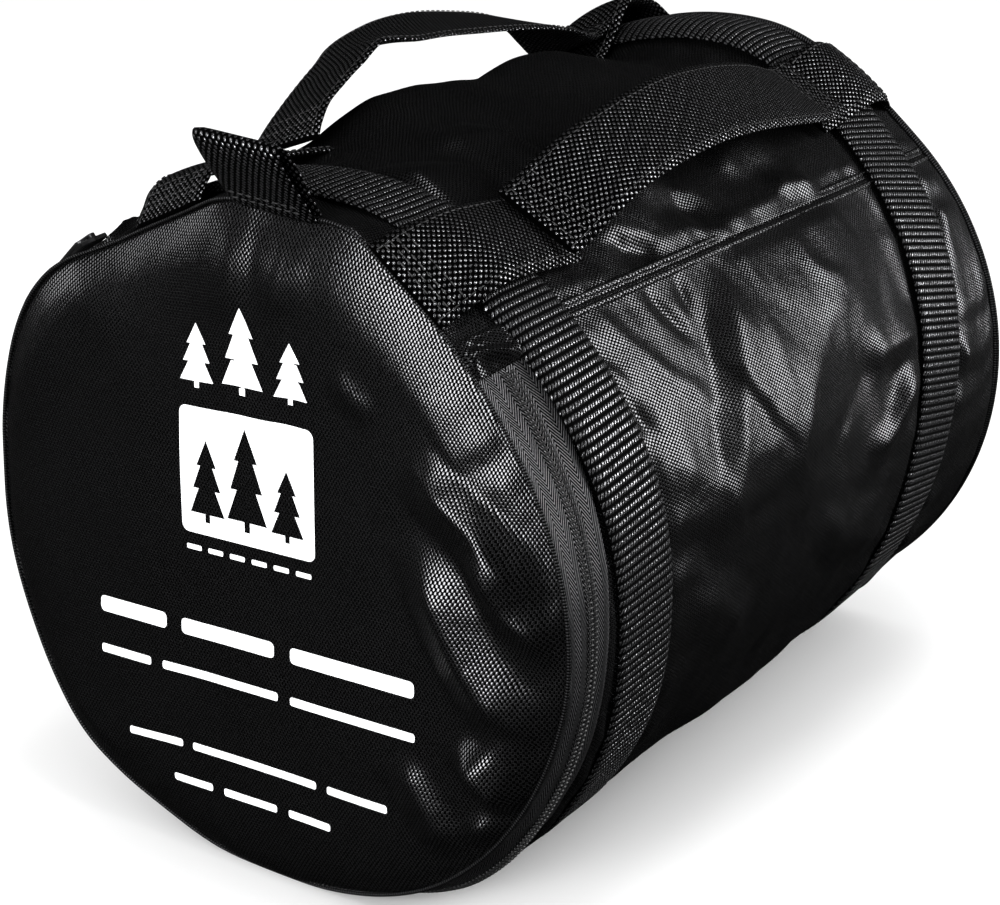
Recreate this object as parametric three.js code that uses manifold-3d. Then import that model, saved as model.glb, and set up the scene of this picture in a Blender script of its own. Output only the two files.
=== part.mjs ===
// Bear canister in its zip-up carrying case, lying on its side.
// A hard plastic drum with a coin-locked lid sits inside a round fabric case. The case has two webbing bands
// round it, two carrying handles on top and a round front flap that a zip opens.
// Millimetres, +Z up. The drum's axis runs along Y and the flap faces -Y.
// Stations (the y values below) are measured back from the front seam; the whole group is moved at the end so
// that the origin is under the middle of the object, on the surface that it lies on.
// Clock angles are measured from the top, positive towards +X.
import * as THREE from 'three';
import { mergeVertices } from 'three/addons/utils/BufferGeometryUtils.js';
import Module from 'manifold-3d';

const wasm = await Module();
wasm.setup();

// ---------------------------------------------------------------- driving dimensions
const CASE_RADIUS = 106;            // outside of the body fabric
const CASE_LENGTH = 281.5;          // front seam to the outside of the rear panel
const FABRIC = 2;                   // lined body fabric
const GAP = 0.3;                    // between pieces that touch
const WEB_WIDTH = 29;               // webbing of the bands
const HANDLE_WIDTH = 30;            // webbing of the handles and the grab tab
const WEB = 1.3;                    // webbing thickness round the body
const STRAP = 2;                    // handle webbing, sewn double
const BAND_RADIUS = CASE_RADIUS + GAP + WEB;
const SETTLE = 2.4;                 // how far the underside is pressed flat by the load
const AXIS_HEIGHT = BAND_RADIUS - SETTLE;
const ORIGIN_STATION = 134;         // half way along the object, grab tab included

const FACET = 6;                    // degrees per facet of every round shell
const ROLL = 5;                     // the case's front has rolled this far round the drum
const ZIP_HALF_ANGLE = 41;          // the zip stops this far either side of the front's own top
const PANEL_SEAM = [43.5, -38];     // clock angles of the two lengthwise body seams

const SEAM_RADIUS = 104;            // front and rear round panels
const BINDING = 3;                  // seam binding, radially
const ZIP_FRONT = 11.2;             // the flap's half of the zip ends here
const ZIP_REAR = 11.6;              // and the body's half begins here
const ZIP_END = 19.7;
const COIL = 2.2;                   // width of each row of coils
const COIL_RADIUS = CASE_RADIUS + 1.5;
const BODY_START = 20;
const REAR_PANEL_FACE = CASE_LENGTH - FABRIC;

// The bands lie aslant: this is each band's middle at the top and at the bottom of the case.
const FRONT_BAND = { top: 28, bottom: 50, power: 1 };
const REAR_BAND = { top: 258, bottom: 220, power: 2 };

const HANDLE_ANGLE = 24.7;          // each handle is sewn this far either side of the top
const HANDLE_FRONT = 62;            // stations between which the handles swing free
const HANDLE_REAR = 234;
const PIVOT_RADIUS = 109;           // line the handles' ends bend about

const DRUM_RADIUS = 101.2;
const DRUM_FRONT = 14.5;
const DRUM_REAR = 270;
const DRUM_WALL = 3.2;
const MOUTH_RADIUS = 66;
const LID_RADIUS = 71.5;
const LATCH_OFFSET = 50;            // from the drum's axis to each latch

// ---------------------------------------------------------------- materials
const colours = {
  coated_fabric: [0x0c0c0e, 0.42, 0],
  webbing: [0x131315, 0.62, 0],
  binding: [0x0e0e10, 0.6, 0],
  zip_tape: [0x101012, 0.7, 0],
  zip_coil: [0x08080a, 0.35, 0],
  zip_metal: [0x1a1a1c, 0.35, 0.6],
  drum_plastic: [0x101113, 0.5, 0],
  steel: [0x9a9ca0, 0.3, 0.9],
};

const group = new THREE.Group();

function add(name, colour, geometry, parent = group) {
  const [color, roughness, metalness] = colours[colour];
  const mesh = new THREE.Mesh(geometry, new THREE.MeshStandardMaterial({ color, roughness, metalness }));
  mesh.name = name;
  parent.add(mesh);
  return mesh;
}

// ---------------------------------------------------------------- round shells with a flat underside
const radians = THREE.MathUtils.degToRad;

// Point at a clock angle on the faceted round of this radius, pressed flat where the case rests.
function roundPoint(radius, angle) {
  const facetMiddle = (Math.floor(angle / FACET) + 0.5) * FACET;
  const reach = (radius * Math.cos(radians(FACET / 2))) / Math.cos(radians(angle - facetMiddle));
  const height = Math.max(reach * Math.cos(radians(angle)), SETTLE - radius);
  return new THREE.Vector2(reach * Math.sin(radians(angle)), height);
}

// The points between two clock angles, without those inside the pressed flat, which is one straight edge.
function roundPoints(radius, from, to) {
  const points = [roundPoint(radius, from)];
  const first = (Math.floor(from / FACET) + 1) * FACET;
  for (let angle = first; angle < to - 0.01; angle += FACET) {
    if (Math.abs(angle - 180) >= 2 * FACET) points.push(roundPoint(radius, angle));
  }
  points.push(roundPoint(radius, to));
  return points;
}

// Extrudes a shape drawn in the X-Z plane between two stations.
function extrudeAlongY(shape, front, rear) {
  const geometry = new THREE.ExtrudeGeometry(shape, { depth: rear - front, bevelEnabled: false });
  return geometry.rotateX(Math.PI / 2).translate(0, rear, 0);
}

// Part of a round shell, between two clock angles.
function arcShell(inner, outer, from, to, front, rear) {
  const outline = roundPoints(outer, from, to).concat(roundPoints(inner, from, to).reverse());
  return extrudeAlongY(new THREE.Shape(outline), front, rear);
}

// A whole round shell.
function ringShell(inner, outer, front, rear) {
  const shape = new THREE.Shape(roundPoints(outer, 0, 360).slice(1));
  shape.holes.push(new THREE.Path(roundPoints(inner, 0, 360).slice(1).reverse()));
  return extrudeAlongY(shape, front, rear);
}

// A webbing band, moved along the case by an amount that changes from its top to its bottom.
function slantBand({ top, bottom, power }) {
  const geometry = ringShell(CASE_RADIUS + GAP, BAND_RADIUS, -WEB_WIDTH / 2, WEB_WIDTH / 2);
  const position = geometry.attributes.position;
  for (let i = 0; i < position.count; i += 1) {
    const x = position.getX(i);
    const z = position.getZ(i);
    const upness = (1 + z / Math.hypot(x, z)) / 2;
    position.setY(i, position.getY(i) + bottom + (top - bottom) * upness ** power);
  }
  return geometry;
}

// ---------------------------------------------------------------- joining and cutting
function toSolid(geometry) {
  const plain = geometry.clone();
  plain.deleteAttribute('normal');
  plain.deleteAttribute('uv');
  const merged = mergeVertices(plain, 1e-4);
  return new wasm.Manifold(new wasm.Mesh({
    numProp: 3,
    vertProperties: new Float32Array(merged.attributes.position.array),
    triVerts: new Uint32Array(merged.index.array),
  }));
}

function toGeometry(solid) {
  const { vertProperties, triVerts } = solid.getMesh();
  const geometry = new THREE.BufferGeometry();
  geometry.setAttribute('position', new THREE.BufferAttribute(vertProperties, 3));
  geometry.setIndex(new THREE.BufferAttribute(triVerts, 1));
  return geometry;
}

function cut(geometry, ...tools) {
  return toGeometry(tools.reduce((solid, tool) => solid.subtract(toSolid(tool)), toSolid(geometry)));
}

// ---------------------------------------------------------------- case body
const bodyInner = CASE_RADIUS - FABRIC;
const seamGap = GAP / 2 / bodyInner * THREE.MathUtils.RAD2DEG;

add('top_panel', 'coated_fabric', arcShell(
  bodyInner, CASE_RADIUS, PANEL_SEAM[1] + seamGap, PANEL_SEAM[0] - seamGap, BODY_START, REAR_PANEL_FACE - GAP,
));
add('wrap_panel', 'coated_fabric', arcShell(
  bodyInner, CASE_RADIUS, PANEL_SEAM[0] + seamGap, PANEL_SEAM[1] + 360 - seamGap, BODY_START,
  REAR_PANEL_FACE - GAP,
));
add('rear_panel', 'coated_fabric', extrudeAlongY(
  new THREE.Shape(roundPoints(SEAM_RADIUS, 0, 360).slice(1)), REAR_PANEL_FACE, CASE_LENGTH,
));
add('rear_seam_binding', 'binding', ringShell(
  SEAM_RADIUS + GAP, SEAM_RADIUS + BINDING, REAR_PANEL_FACE, CASE_LENGTH - GAP,
));
add('front_band', 'webbing', slantBand(FRONT_BAND));
add('rear_band', 'webbing', slantBand(REAR_BAND));

// ---------------------------------------------------------------- front: flap, zip and the sewn top
const FLAP_START = ZIP_HALF_ANGLE + 2.5;      // the flap's rim begins just below the hinge line
const SEWN_END = ZIP_HALF_ANGLE - 1;          // and the sewn top ends just above it
const rimFrom = ROLL + FLAP_START;
const rimTo = ROLL - FLAP_START + 360;
const sewnFrom = ROLL - SEWN_END;
const sewnTo = ROLL + SEWN_END;
const HINGE_OFFSET = SEAM_RADIUS * Math.cos(radians(ZIP_HALF_ANGLE));
const PANEL_FRONT = -2.2;
const PANEL_BACK = -0.2;

// The front panel is one round cloth. It bends along the straight line between the zip's two ends, so it is
// split there: this cutter covers everything on one side of that line.
function beyondHinge(side) {
  const size = 3 * CASE_RADIUS;
  const box = new THREE.BoxGeometry(size, size, size);
  box.translate(0, 0, HINGE_OFFSET + side * (size / 2 - GAP / 2));
  return box.rotateY(radians(ROLL));
}

const frontRound = extrudeAlongY(
  new THREE.Shape(roundPoints(SEAM_RADIUS, 0, 360).slice(1)), PANEL_FRONT, PANEL_BACK,
);
add('front_panel', 'coated_fabric', cut(frontRound, beyondHinge(1)));
add('front_panel_top', 'coated_fabric', cut(frontRound, beyondHinge(-1)));

const bindingInner = SEAM_RADIUS + GAP;
const bindingOuter = SEAM_RADIUS + BINDING;
add('front_seam_binding', 'binding', arcShell(bindingInner, bindingOuter, rimFrom, rimTo, PANEL_FRONT, 0.1));
add('front_binding_top', 'binding', arcShell(bindingInner, bindingOuter, sewnFrom, sewnTo, PANEL_FRONT, 0.1));
add('hinge_strip', 'coated_fabric', arcShell(bodyInner, CASE_RADIUS, sewnFrom, sewnTo, 0.4, ZIP_END));

const tapeInner = CASE_RADIUS - 1.1;
add('zipper_tape_front', 'zip_tape', arcShell(tapeInner, CASE_RADIUS, rimFrom, rimTo, 0.4, ZIP_FRONT));
add('zipper_tape_rear', 'zip_tape', arcShell(tapeInner, CASE_RADIUS, rimFrom, rimTo, ZIP_REAR, ZIP_END));
add('zipper_coil_front', 'zip_coil', arcShell(
  CASE_RADIUS + GAP, COIL_RADIUS, rimFrom, rimTo, ZIP_FRONT - COIL, ZIP_FRONT,
));
add('zipper_coil_rear', 'zip_coil', arcShell(
  CASE_RADIUS + GAP, COIL_RADIUS, rimFrom, rimTo, ZIP_REAR, ZIP_REAR + COIL,
));

// Small folded covers sewn over the zip's two ends.
const COVER_ANGLE = 4;
const COVER_STATIONS = [1, 10.5];
add('zip_end_cover_right', 'coated_fabric', arcShell(
  CASE_RADIUS + GAP, COIL_RADIUS + 0.5, sewnTo - COVER_ANGLE, sewnTo, ...COVER_STATIONS,
));
add('zip_end_cover_left', 'coated_fabric', arcShell(
  CASE_RADIUS + GAP, COIL_RADIUS + 0.5, sewnFrom, sewnFrom + COVER_ANGLE, ...COVER_STATIONS,
));

// ---------------------------------------------------------------- zip slider and pull
// Drawn with the case's outward direction along +Z and the way round the case along X, then turned into place.
const SLIDER_ANGLE = ROLL - ZIP_HALF_ANGLE - 8;
const SLIDER_LENGTH = 12;
const SLIDER_WIDTH = 7.8;
const SLIDER_THICKNESS = 1.8;
const zipMiddle = (ZIP_FRONT + ZIP_REAR) / 2;
const sliderUnderside = COIL_RADIUS + 0.5;
const PULL_PIVOT_RADIUS = sliderUnderside + SLIDER_THICKNESS + 1.6;

const sliderPlace = new THREE.Group();
sliderPlace.rotation.y = radians(SLIDER_ANGLE);
group.add(sliderPlace);

function box(width, length, height, x, y, z) {
  return new THREE.BoxGeometry(width, length, height).translate(x, y, z);
}

const plate = box(
  SLIDER_LENGTH, SLIDER_WIDTH, SLIDER_THICKNESS, 0, zipMiddle, sliderUnderside + SLIDER_THICKNESS / 2,
);
const BRIDGE = { length: 8.4, width: 2, height: 3.6, wall: 1 };
const bridgeBase = sliderUnderside + SLIDER_THICKNESS;
const bridgeBlock = box(
  BRIDGE.length, BRIDGE.width, BRIDGE.height, 0, zipMiddle, bridgeBase + BRIDGE.height / 2,
);
const bridgeSlot = box(
  BRIDGE.length - 2 * BRIDGE.wall, BRIDGE.width + 1, BRIDGE.height - BRIDGE.wall, 0, zipMiddle,
  bridgeBase + (BRIDGE.height - BRIDGE.wall) / 2 + 0.001,
);
const bridge = toSolid(bridgeBlock).subtract(toSolid(bridgeSlot));
add('zipper_slider', 'zip_metal', toGeometry(toSolid(plate).add(bridge)), sliderPlace);

// The pull is a flat tag whose eye goes round the slider's bridge.
const PULL = { length: 27, width: 6.4, thickness: 1.3, eye: 5.6, eyeWidth: 2.8, tilt: 7 };
const pullPlace = new THREE.Group();
pullPlace.position.set(0, zipMiddle, PULL_PIVOT_RADIUS);
pullPlace.rotation.y = radians(-PULL.tilt);
sliderPlace.add(pullPlace);
const tag = new THREE.Shape();
const half = PULL.width / 2;
const barHalf = PULL.thickness / 2;
tag.moveTo(barHalf, -half);
tag.lineTo(barHalf, half);
tag.lineTo(-PULL.length + half, half);
tag.absarc(-PULL.length + half, 0, half, Math.PI / 2, (3 * Math.PI) / 2, false);
const eye = new THREE.Path();
eye.moveTo(-barHalf, -PULL.eyeWidth / 2);
eye.lineTo(-PULL.eye, -PULL.eyeWidth / 2);
eye.lineTo(-PULL.eye, PULL.eyeWidth / 2);
eye.lineTo(-barHalf, PULL.eyeWidth / 2);
tag.holes.push(eye);
const tagGeometry = new THREE.ExtrudeGeometry(tag, {
  depth: PULL.thickness, bevelEnabled: false, curveSegments: 6,
});
add('zipper_pull', 'zip_metal', tagGeometry.translate(0, 0, -barHalf), pullPlace);

// ---------------------------------------------------------------- straps that follow a line of points
// A strap's side view is a ribbon: its middle line, drawn along X with heights along Y, given a thickness.
function ribbonShape(points, thickness, steps) {
  const middle = new THREE.SplineCurve(points.map(([x, y]) => new THREE.Vector2(x, y)));
  const upper = [];
  const lower = [];
  for (let i = 0; i <= steps; i += 1) {
    const at = middle.getPoint(i / steps);
    const along = middle.getTangent(i / steps);
    const out = new THREE.Vector2(-along.y, along.x).multiplyScalar(thickness / 2);
    upper.push(at.clone().add(out));
    lower.push(at.clone().sub(out));
  }
  return new THREE.Shape(lower.concat(upper.reverse()));
}

// The ribbon is extruded across the strap, and narrowed towards its ends where narrow is below 1.
function ribbon(points, width, thickness, steps, narrow = 1) {
  const geometry = new THREE.ExtrudeGeometry(ribbonShape(points, thickness, steps), {
    depth: width, bevelEnabled: false,
  });
  geometry.translate(0, 0, -width / 2);
  const NARROW_LENGTH = 26;
  const end = points[points.length - 1][0];
  const position = geometry.attributes.position;
  for (let i = 0; i < position.count; i += 1) {
    const x = position.getX(i);
    const inwards = Math.min(Math.max(Math.min(x, end - x) / NARROW_LENGTH, 0), 1);
    position.setZ(i, position.getZ(i) * (narrow + (1 - narrow) * inwards));
  }
  return geometry;
}

function placeAt(radius, angle, station) {
  return new THREE.Vector3(radius * Math.sin(radians(angle)), station, radius * Math.cos(radians(angle)));
}

// Puts a ribbon's middle line over the line from one point to another, with its heights leaning by an angle.
function layRibbon(mesh, from, to, lean) {
  const along = to.clone().sub(from).normalize();
  const up = placeAt(1, lean, 0);
  const across = along.clone().cross(up).normalize();
  const height = across.clone().cross(along);
  mesh.quaternion.setFromRotationMatrix(new THREE.Matrix4().makeBasis(along, height, across));
  mesh.position.copy(from);
}

// Sewn strap ends: each starts at a round seam and crosses a band to the handle's end. Heights are radii.
function sewnStrap(name, angle, stations, radii, seamStation) {
  const points = stations.map((station, i) => [station - seamStation, radii[i]]);
  const strap = add(name, 'webbing', ribbon(points, HANDLE_WIDTH, STRAP, 10));
  layRibbon(strap, new THREE.Vector3(0, seamStation, 0), new THREE.Vector3(0, CASE_LENGTH, 0), angle);
}

const frontStations = [0.5, 8, 27, 47, 60.8];
const rearStations = [235.6, 241, 258, 272, 279];
const overFabric = CASE_RADIUS + 0.5 + STRAP / 2;
const overBand = BAND_RADIUS + 0.6 + STRAP / 2;
sewnStrap('near_strap_front', ROLL + HANDLE_ANGLE, frontStations,
  [bindingOuter + 1.6, bindingOuter + 2, overBand + 4, overBand + 1, overFabric + 1], 0.5);
sewnStrap('far_strap_front', ROLL - HANDLE_ANGLE, frontStations,
  [bindingOuter + 1.6, bindingOuter + 3, overBand + 8, overBand + 3, overFabric + 1], 0.5);
for (const [name, side] of [['near_strap_rear', 1], ['far_strap_rear', -1]]) {
  sewnStrap(name, side * HANDLE_ANGLE, rearStations,
    [overBand, overBand + 0.6, overBand + 3.5, overBand + 1.5, overBand], 235.6);
}

// The two handles. Points are distance along the handle and height above the line it bends about.
const HANDLE_STEPS = 16;
const HANDLE_NARROW = 0.42;

function handle(name, side, lean, points) {
  const from = placeAt(PIVOT_RADIUS, ROLL + side * HANDLE_ANGLE, HANDLE_FRONT);
  const to = placeAt(PIVOT_RADIUS, side * HANDLE_ANGLE, HANDLE_REAR);
  const mesh = add(name, 'webbing', ribbon(points, HANDLE_WIDTH, STRAP, HANDLE_STEPS, HANDLE_NARROW));
  layRibbon(mesh, from, to, lean);
}

const span = HANDLE_REAR - HANDLE_FRONT;
handle('near_handle', 1, 27, [[0, 5], [18, 10], [55, 17], [100, 18], [145, 12], [span, 5]]);
handle('far_handle', -1, -12, [[0, 5], [14, 14], [46, 28], [82, 29.5], [120, 23], [152, 12], [span, 5]]);

// Grab tab: a short loop of webbing sewn in at the front's top, leaning forwards.
const TAB = { height: 21, thickness: 3.6, pivotRadius: 109.8, station: -1, lean: 30 };
const tabPlace = new THREE.Group();
tabPlace.position.copy(placeAt(TAB.pivotRadius, ROLL, TAB.station));
tabPlace.rotation.y = radians(ROLL);
group.add(tabPlace);
const tabLean = new THREE.Group();
tabLean.rotation.x = radians(TAB.lean);
tabPlace.add(tabLean);
const tabSide = new THREE.Shape();
tabSide.moveTo(-TAB.thickness / 2, 0.6);
tabSide.lineTo(TAB.thickness / 2, 0.6);
tabSide.lineTo(TAB.thickness / 2, TAB.height - TAB.thickness / 2);
tabSide.absarc(0, TAB.height - TAB.thickness / 2, TAB.thickness / 2, 0, Math.PI, false);
const tabGeometry = new THREE.ExtrudeGeometry(tabSide, {
  depth: HANDLE_WIDTH, bevelEnabled: false, curveSegments: 5,
});
tabGeometry.translate(0, 0, -HANDLE_WIDTH / 2).rotateX(Math.PI / 2).rotateZ(Math.PI / 2);
add('grab_tab', 'webbing', tabGeometry, tabLean);

// ---------------------------------------------------------------- drum, lid and latches
const DRUM_FACETS = 48;

function lathe(points, facets) {
  return new THREE.LatheGeometry(points.map(([r, y]) => new THREE.Vector2(r, y)), facets);
}

const shelf = DRUM_FRONT + 4;       // the lid's rim sits on this step inside the mouth
const lipUnder = DRUM_FRONT + 9.7;  // underside of the drum's front lip
const innerRadius = DRUM_RADIUS - DRUM_WALL;
const innerRear = DRUM_REAR - DRUM_WALL;
const DRAFT = 1.8;                  // the drum is this much slimmer at its closed end
add('canister_shell', 'drum_plastic', lathe([
  [0, innerRear], [innerRadius - DRAFT - 3, innerRear], [innerRadius - DRAFT, innerRear - 3],
  [innerRadius, lipUnder + 4], [innerRadius - 3, lipUnder], [MOUTH_RADIUS, lipUnder],
  [MOUTH_RADIUS, shelf], [LID_RADIUS + 0.5, shelf], [LID_RADIUS + 0.5, DRUM_FRONT],
  [DRUM_RADIUS - 4, DRUM_FRONT], [DRUM_RADIUS - 1.2, DRUM_FRONT + 1.2], [DRUM_RADIUS, DRUM_FRONT + 4],
  [DRUM_RADIUS - DRAFT, DRUM_REAR - 4], [DRUM_RADIUS - DRAFT - 4, DRUM_REAR], [0, DRUM_REAR],
], DRUM_FACETS));

const LID_FACE = DRUM_FRONT + 0.4;
const LID_PANEL = [LID_FACE + 1.6, LID_FACE + 5];   // the lid's thinner middle, front and back
const latchSides = [['1', 1], ['2', -1]];
const SHAFT_RADIUS = 4;
const HEAD = { radius: 11, thickness: 2.4, slotWidth: 2.4, slotDepth: 1.3 };
const lidBlank = lathe([
  [0, LID_PANEL[0]], [MOUTH_RADIUS - 5, LID_PANEL[0]], [MOUTH_RADIUS - 3, LID_FACE],
  [LID_RADIUS, LID_FACE], [LID_RADIUS, shelf - 0.4], [MOUTH_RADIUS - 0.6, shelf - 0.4],
  [MOUTH_RADIUS - 0.6, lipUnder - 0.2], [MOUTH_RADIUS - 4, lipUnder - 0.2],
  [MOUTH_RADIUS - 4, LID_PANEL[1]], [0, LID_PANEL[1]],
], DRUM_FACETS);

// A round bar along the drum's axis at a latch's place.
function bar(radius, front, rear, side, facets) {
  return new THREE.CylinderGeometry(radius, radius, rear - front, facets)
    .translate(side * LATCH_OFFSET, (front + rear) / 2, 0);
}

const BAR_FACETS = 20;
const headBack = LID_PANEL[0] - 0.3;
const headFront = headBack - HEAD.thickness;
const spacer = [LID_PANEL[1] + 0.3, lipUnder + 0.2];
const cam = [lipUnder + 0.5, lipUnder + 3.5];
const nut = [cam[1] + 0.3, cam[1] + 4.3];
const shaftEnd = nut[1] + 1.5;
const CAM = { reach: 25, heel: 8, width: 13 };
add('canister_lid', 'drum_plastic', cut(
  lidBlank,
  ...latchSides.map(([, side]) => bar(SHAFT_RADIUS + 0.4, LID_FACE, LID_PANEL[1] + 1, side, BAR_FACETS)),
));

for (const [number, side] of latchSides) {
  const coinSlot = box(2 * HEAD.radius + 2, HEAD.slotDepth, HEAD.slotWidth,
    side * LATCH_OFFSET, headFront + HEAD.slotDepth / 2 - 0.01, 0);
  const spindle = toSolid(bar(HEAD.radius, headFront, headBack, side, BAR_FACETS))
    .subtract(toSolid(coinSlot))
    .add(toSolid(bar(SHAFT_RADIUS, headBack - 0.5, shaftEnd, side, BAR_FACETS)));
  add(`latch_${number}_spindle`, 'steel', toGeometry(spindle));
  const hole = SHAFT_RADIUS + 0.3;
  add(`latch_${number}_spacer`, 'drum_plastic', cut(
    bar(8, spacer[0], spacer[1], side, BAR_FACETS),
    bar(hole, spacer[0] - 1, spacer[1] + 1, side, BAR_FACETS),
  ));
  const tongue = box(CAM.reach + CAM.heel, cam[1] - cam[0], CAM.width,
    side * (LATCH_OFFSET + (CAM.reach - CAM.heel) / 2), (cam[0] + cam[1]) / 2, 0);
  add(`latch_${number}_cam`, 'steel', cut(tongue, bar(hole, cam[0] - 1, cam[1] + 1, side, BAR_FACETS)));
  add(`latch_${number}_nut`, 'steel', cut(
    bar(7.5, nut[0], nut[1], side, 6),
    bar(hole, nut[0] - 1, nut[1] + 1, side, BAR_FACETS),
  ));
}

group.position.set(0, -ORIGIN_STATION, AXIS_HEIGHT);

export default group;
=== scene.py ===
"""Looks of the bear canister in its zip-up carrying case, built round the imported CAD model.

Lengths are in millimetres in the case's own frame until a mesh is made: x to the right, station measured
back from the front seam, and height above the case's axis. Clock angles are in degrees from the top,
positive towards +x. to_row() turns points into the row frame, in metres.
"""

import math

import bmesh
import bpy
import numpy as np
from mathutils import Matrix, Vector
from mathutils.bvhtree import BVHTree


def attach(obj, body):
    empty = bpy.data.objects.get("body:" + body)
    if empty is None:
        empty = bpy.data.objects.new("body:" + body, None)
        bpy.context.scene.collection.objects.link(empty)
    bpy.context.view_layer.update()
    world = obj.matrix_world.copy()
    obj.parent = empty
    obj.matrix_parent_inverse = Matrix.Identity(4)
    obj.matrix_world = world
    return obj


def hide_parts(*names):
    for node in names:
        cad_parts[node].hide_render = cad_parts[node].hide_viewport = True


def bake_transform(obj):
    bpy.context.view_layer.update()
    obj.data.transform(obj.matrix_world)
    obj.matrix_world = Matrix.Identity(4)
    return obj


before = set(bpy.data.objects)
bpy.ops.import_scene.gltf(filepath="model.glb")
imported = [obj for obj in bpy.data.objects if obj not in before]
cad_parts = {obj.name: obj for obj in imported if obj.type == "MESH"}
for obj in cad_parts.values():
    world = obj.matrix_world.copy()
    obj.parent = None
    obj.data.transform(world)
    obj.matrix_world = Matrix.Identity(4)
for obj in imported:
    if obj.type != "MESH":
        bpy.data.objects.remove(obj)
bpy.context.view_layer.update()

MM = 0.001
AXIS_HEIGHT = 105.2
ORIGIN_STATION = 134.0

# ---------------------------------------------------------------- the case's dimensions
CASE_RADIUS = 106.0
CASE_LENGTH = 281.5
SEAM_RADIUS = 104.0
BODY_START = 20.0
ROLL = 5.0
ZIP_HALF_ANGLE = 41.0
SEAM_RIGHT = 43.5
SEAM_LEFT = -38.0
WEB_WIDTH = 29.0
HANDLE_WIDTH = 30.0
BAND_THICKNESS = 1.3
BAND_RADIUS = 106.95
STRAP_THICKNESS = 2.0
HANDLE_ANGLE = 24.7
PIVOT_RADIUS = 109.0
HANDLE_FRONT = 62.0
HANDLE_REAR = 234.0
ZIP_FRONT = 11.2
ZIP_REAR = 11.6
ZIP_END = 19.7
HINGE_OFFSET = SEAM_RADIUS * math.cos(math.radians(ZIP_HALF_ANGLE))
HINGE_STATION = -2.3
PANEL_THICKNESS = 0.9
ROUND_THICKNESS = 0.8
STRIP_THICKNESS = 0.9
TAPE_RADIUS = 106.1
COIL_RADIUS = 106.8

# The repeats of the weaves: a rib of the bands, then the cloth's threads one way and the other.
RIB = 2.5
THREAD_U = 1.2
THREAD_V = 1.8
# How much like a mirror the threads are: a facet shows a soft box or goes black.
LUSTRE = 0.97


def arc(value):
    return np.radians(value)


def around(clock, station, radius):
    """Points at clock angles, stations and radii, which may be arrays."""
    clock, station, radius = np.broadcast_arrays(
        np.asarray(clock, float), np.asarray(station, float), np.asarray(radius, float)
    )
    return np.stack([radius * np.sin(arc(clock)), station, radius * np.cos(arc(clock))], -1)


def bump(value, middle, half_width):
    """1 at the middle, falling smoothly to 0 at half_width away."""
    t = np.clip(1 - np.abs((value - middle) / half_width), 0, 1)
    return t * t * (3 - 2 * t)


def clock_of(points):
    return np.degrees(np.arctan2(points[..., 0], points[..., 2]))


def unit(vectors):
    return vectors / np.maximum(np.linalg.norm(vectors, axis=-1, keepdims=True), 1e-9)


def outwards_at(points):
    """Unit vectors straight away from the case's axis."""
    return unit(points * [1, 0, 1])


def seat(points, clearance):
    """Presses the underside flat at a clearance above the ground, with a soft turn into the flat."""
    out = np.array(points, float)
    floor = clearance - AXIS_HEIGHT
    softness = 0.8
    above = (out[..., 2] - floor) / softness
    out[..., 2] = floor + softness * np.where(above > 20, above, np.log1p(np.exp(np.minimum(above, 20))))
    return out


# How the slack case stands away from its round shape: (clock angle, mm outwards), then (station, share).
RIM_SLUMP = (
    [(-156, 0.0), (-145, 2.8), (-136, 4.8), (-127, 3.0), (-115, 0.8), (-100, 0.0), (-86, -0.6),
     (-73, 1.2), (-60, 3.6), (-52, 3.6), (-44, 1.0), (-36, -3.8), (-28, -5.0), (-18, -4.2), (-12, -2.2),
     (-5.5, 1.4), (1, -0.8), (7, -1.6), (11.5, 0.4), (15.5, 4.0), (20, 2.0), (30, -3.0), (42, -5.6),
     (57, -6.0), (67, -4.5), (76, -2.4), (85, -0.4), (96, 1.0), (112, 0.5), (180, 0.0)],
    [(0, 1.0), (6, 0.85), (12.5, 0.5), (19, 0.15), (25, 0.0)])
REAR_RISE = (
    [(-62, 0.0), (-45, 5.0), (-30, 9.5), (-20, 11.0), (-10, 10.0), (0, 9.0), (8, 8.0), (16, 5.0),
     (25, 2.5), (36, 0.0)],
    [(222, 0.0), (232, 0.2), (242, 0.6), (252, 0.9), (258, 1.0)])
BELLY = (
    [(96, 0.0), (110, 2.5), (125, 5.0), (136, 8.0), (147, 9.5), (157, 6.0), (166, 1.5), (174, 0.0)],
    [(0, 0.25), (14, 0.8), (40, 0.6), (200, 0.35), (260, 0.0), (281.5, 0.0)])


def slump(points):
    """Points in the case's frame, moved with the slack case."""
    clock = clock_of(points)
    radius = np.hypot(points[..., 0], points[..., 2])
    total = 0
    for places, along in (RIM_SLUMP, REAR_RISE, BELLY):
        angles, outs = zip(*places)
        stations, shares = zip(*along)
        out = sum(np.interp((clock + k + 180) % 360 - 180, angles, outs) for k in (-4, -2, 0, 2, 4)) / 5
        total = total + out * np.interp(points[..., 1], stations, shares)
    total = total * np.clip(radius / SEAM_RADIUS, 0, 1.2) ** 3
    scale = 1 + total / np.maximum(radius, 1)
    moved = points * np.stack([scale, np.ones_like(scale), scale], -1)
    sunk = np.minimum(total, 0) * np.clip(1 - points[..., 1] / 25, 0, 1)
    moved[..., 1] -= 0.45 * sunk
    moved[..., 2] = np.maximum(moved[..., 2], 0.05 - AXIS_HEIGHT)
    return moved


def to_row(points):
    return (np.asarray(points, float) - [0, ORIGIN_STATION, -AXIS_HEIGHT]) * MM


def lengths_along(points):
    """How far along a line of points each of them lies."""
    return np.concatenate([[0], np.cumsum(np.linalg.norm(np.diff(points, axis=0), axis=1))])


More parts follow.
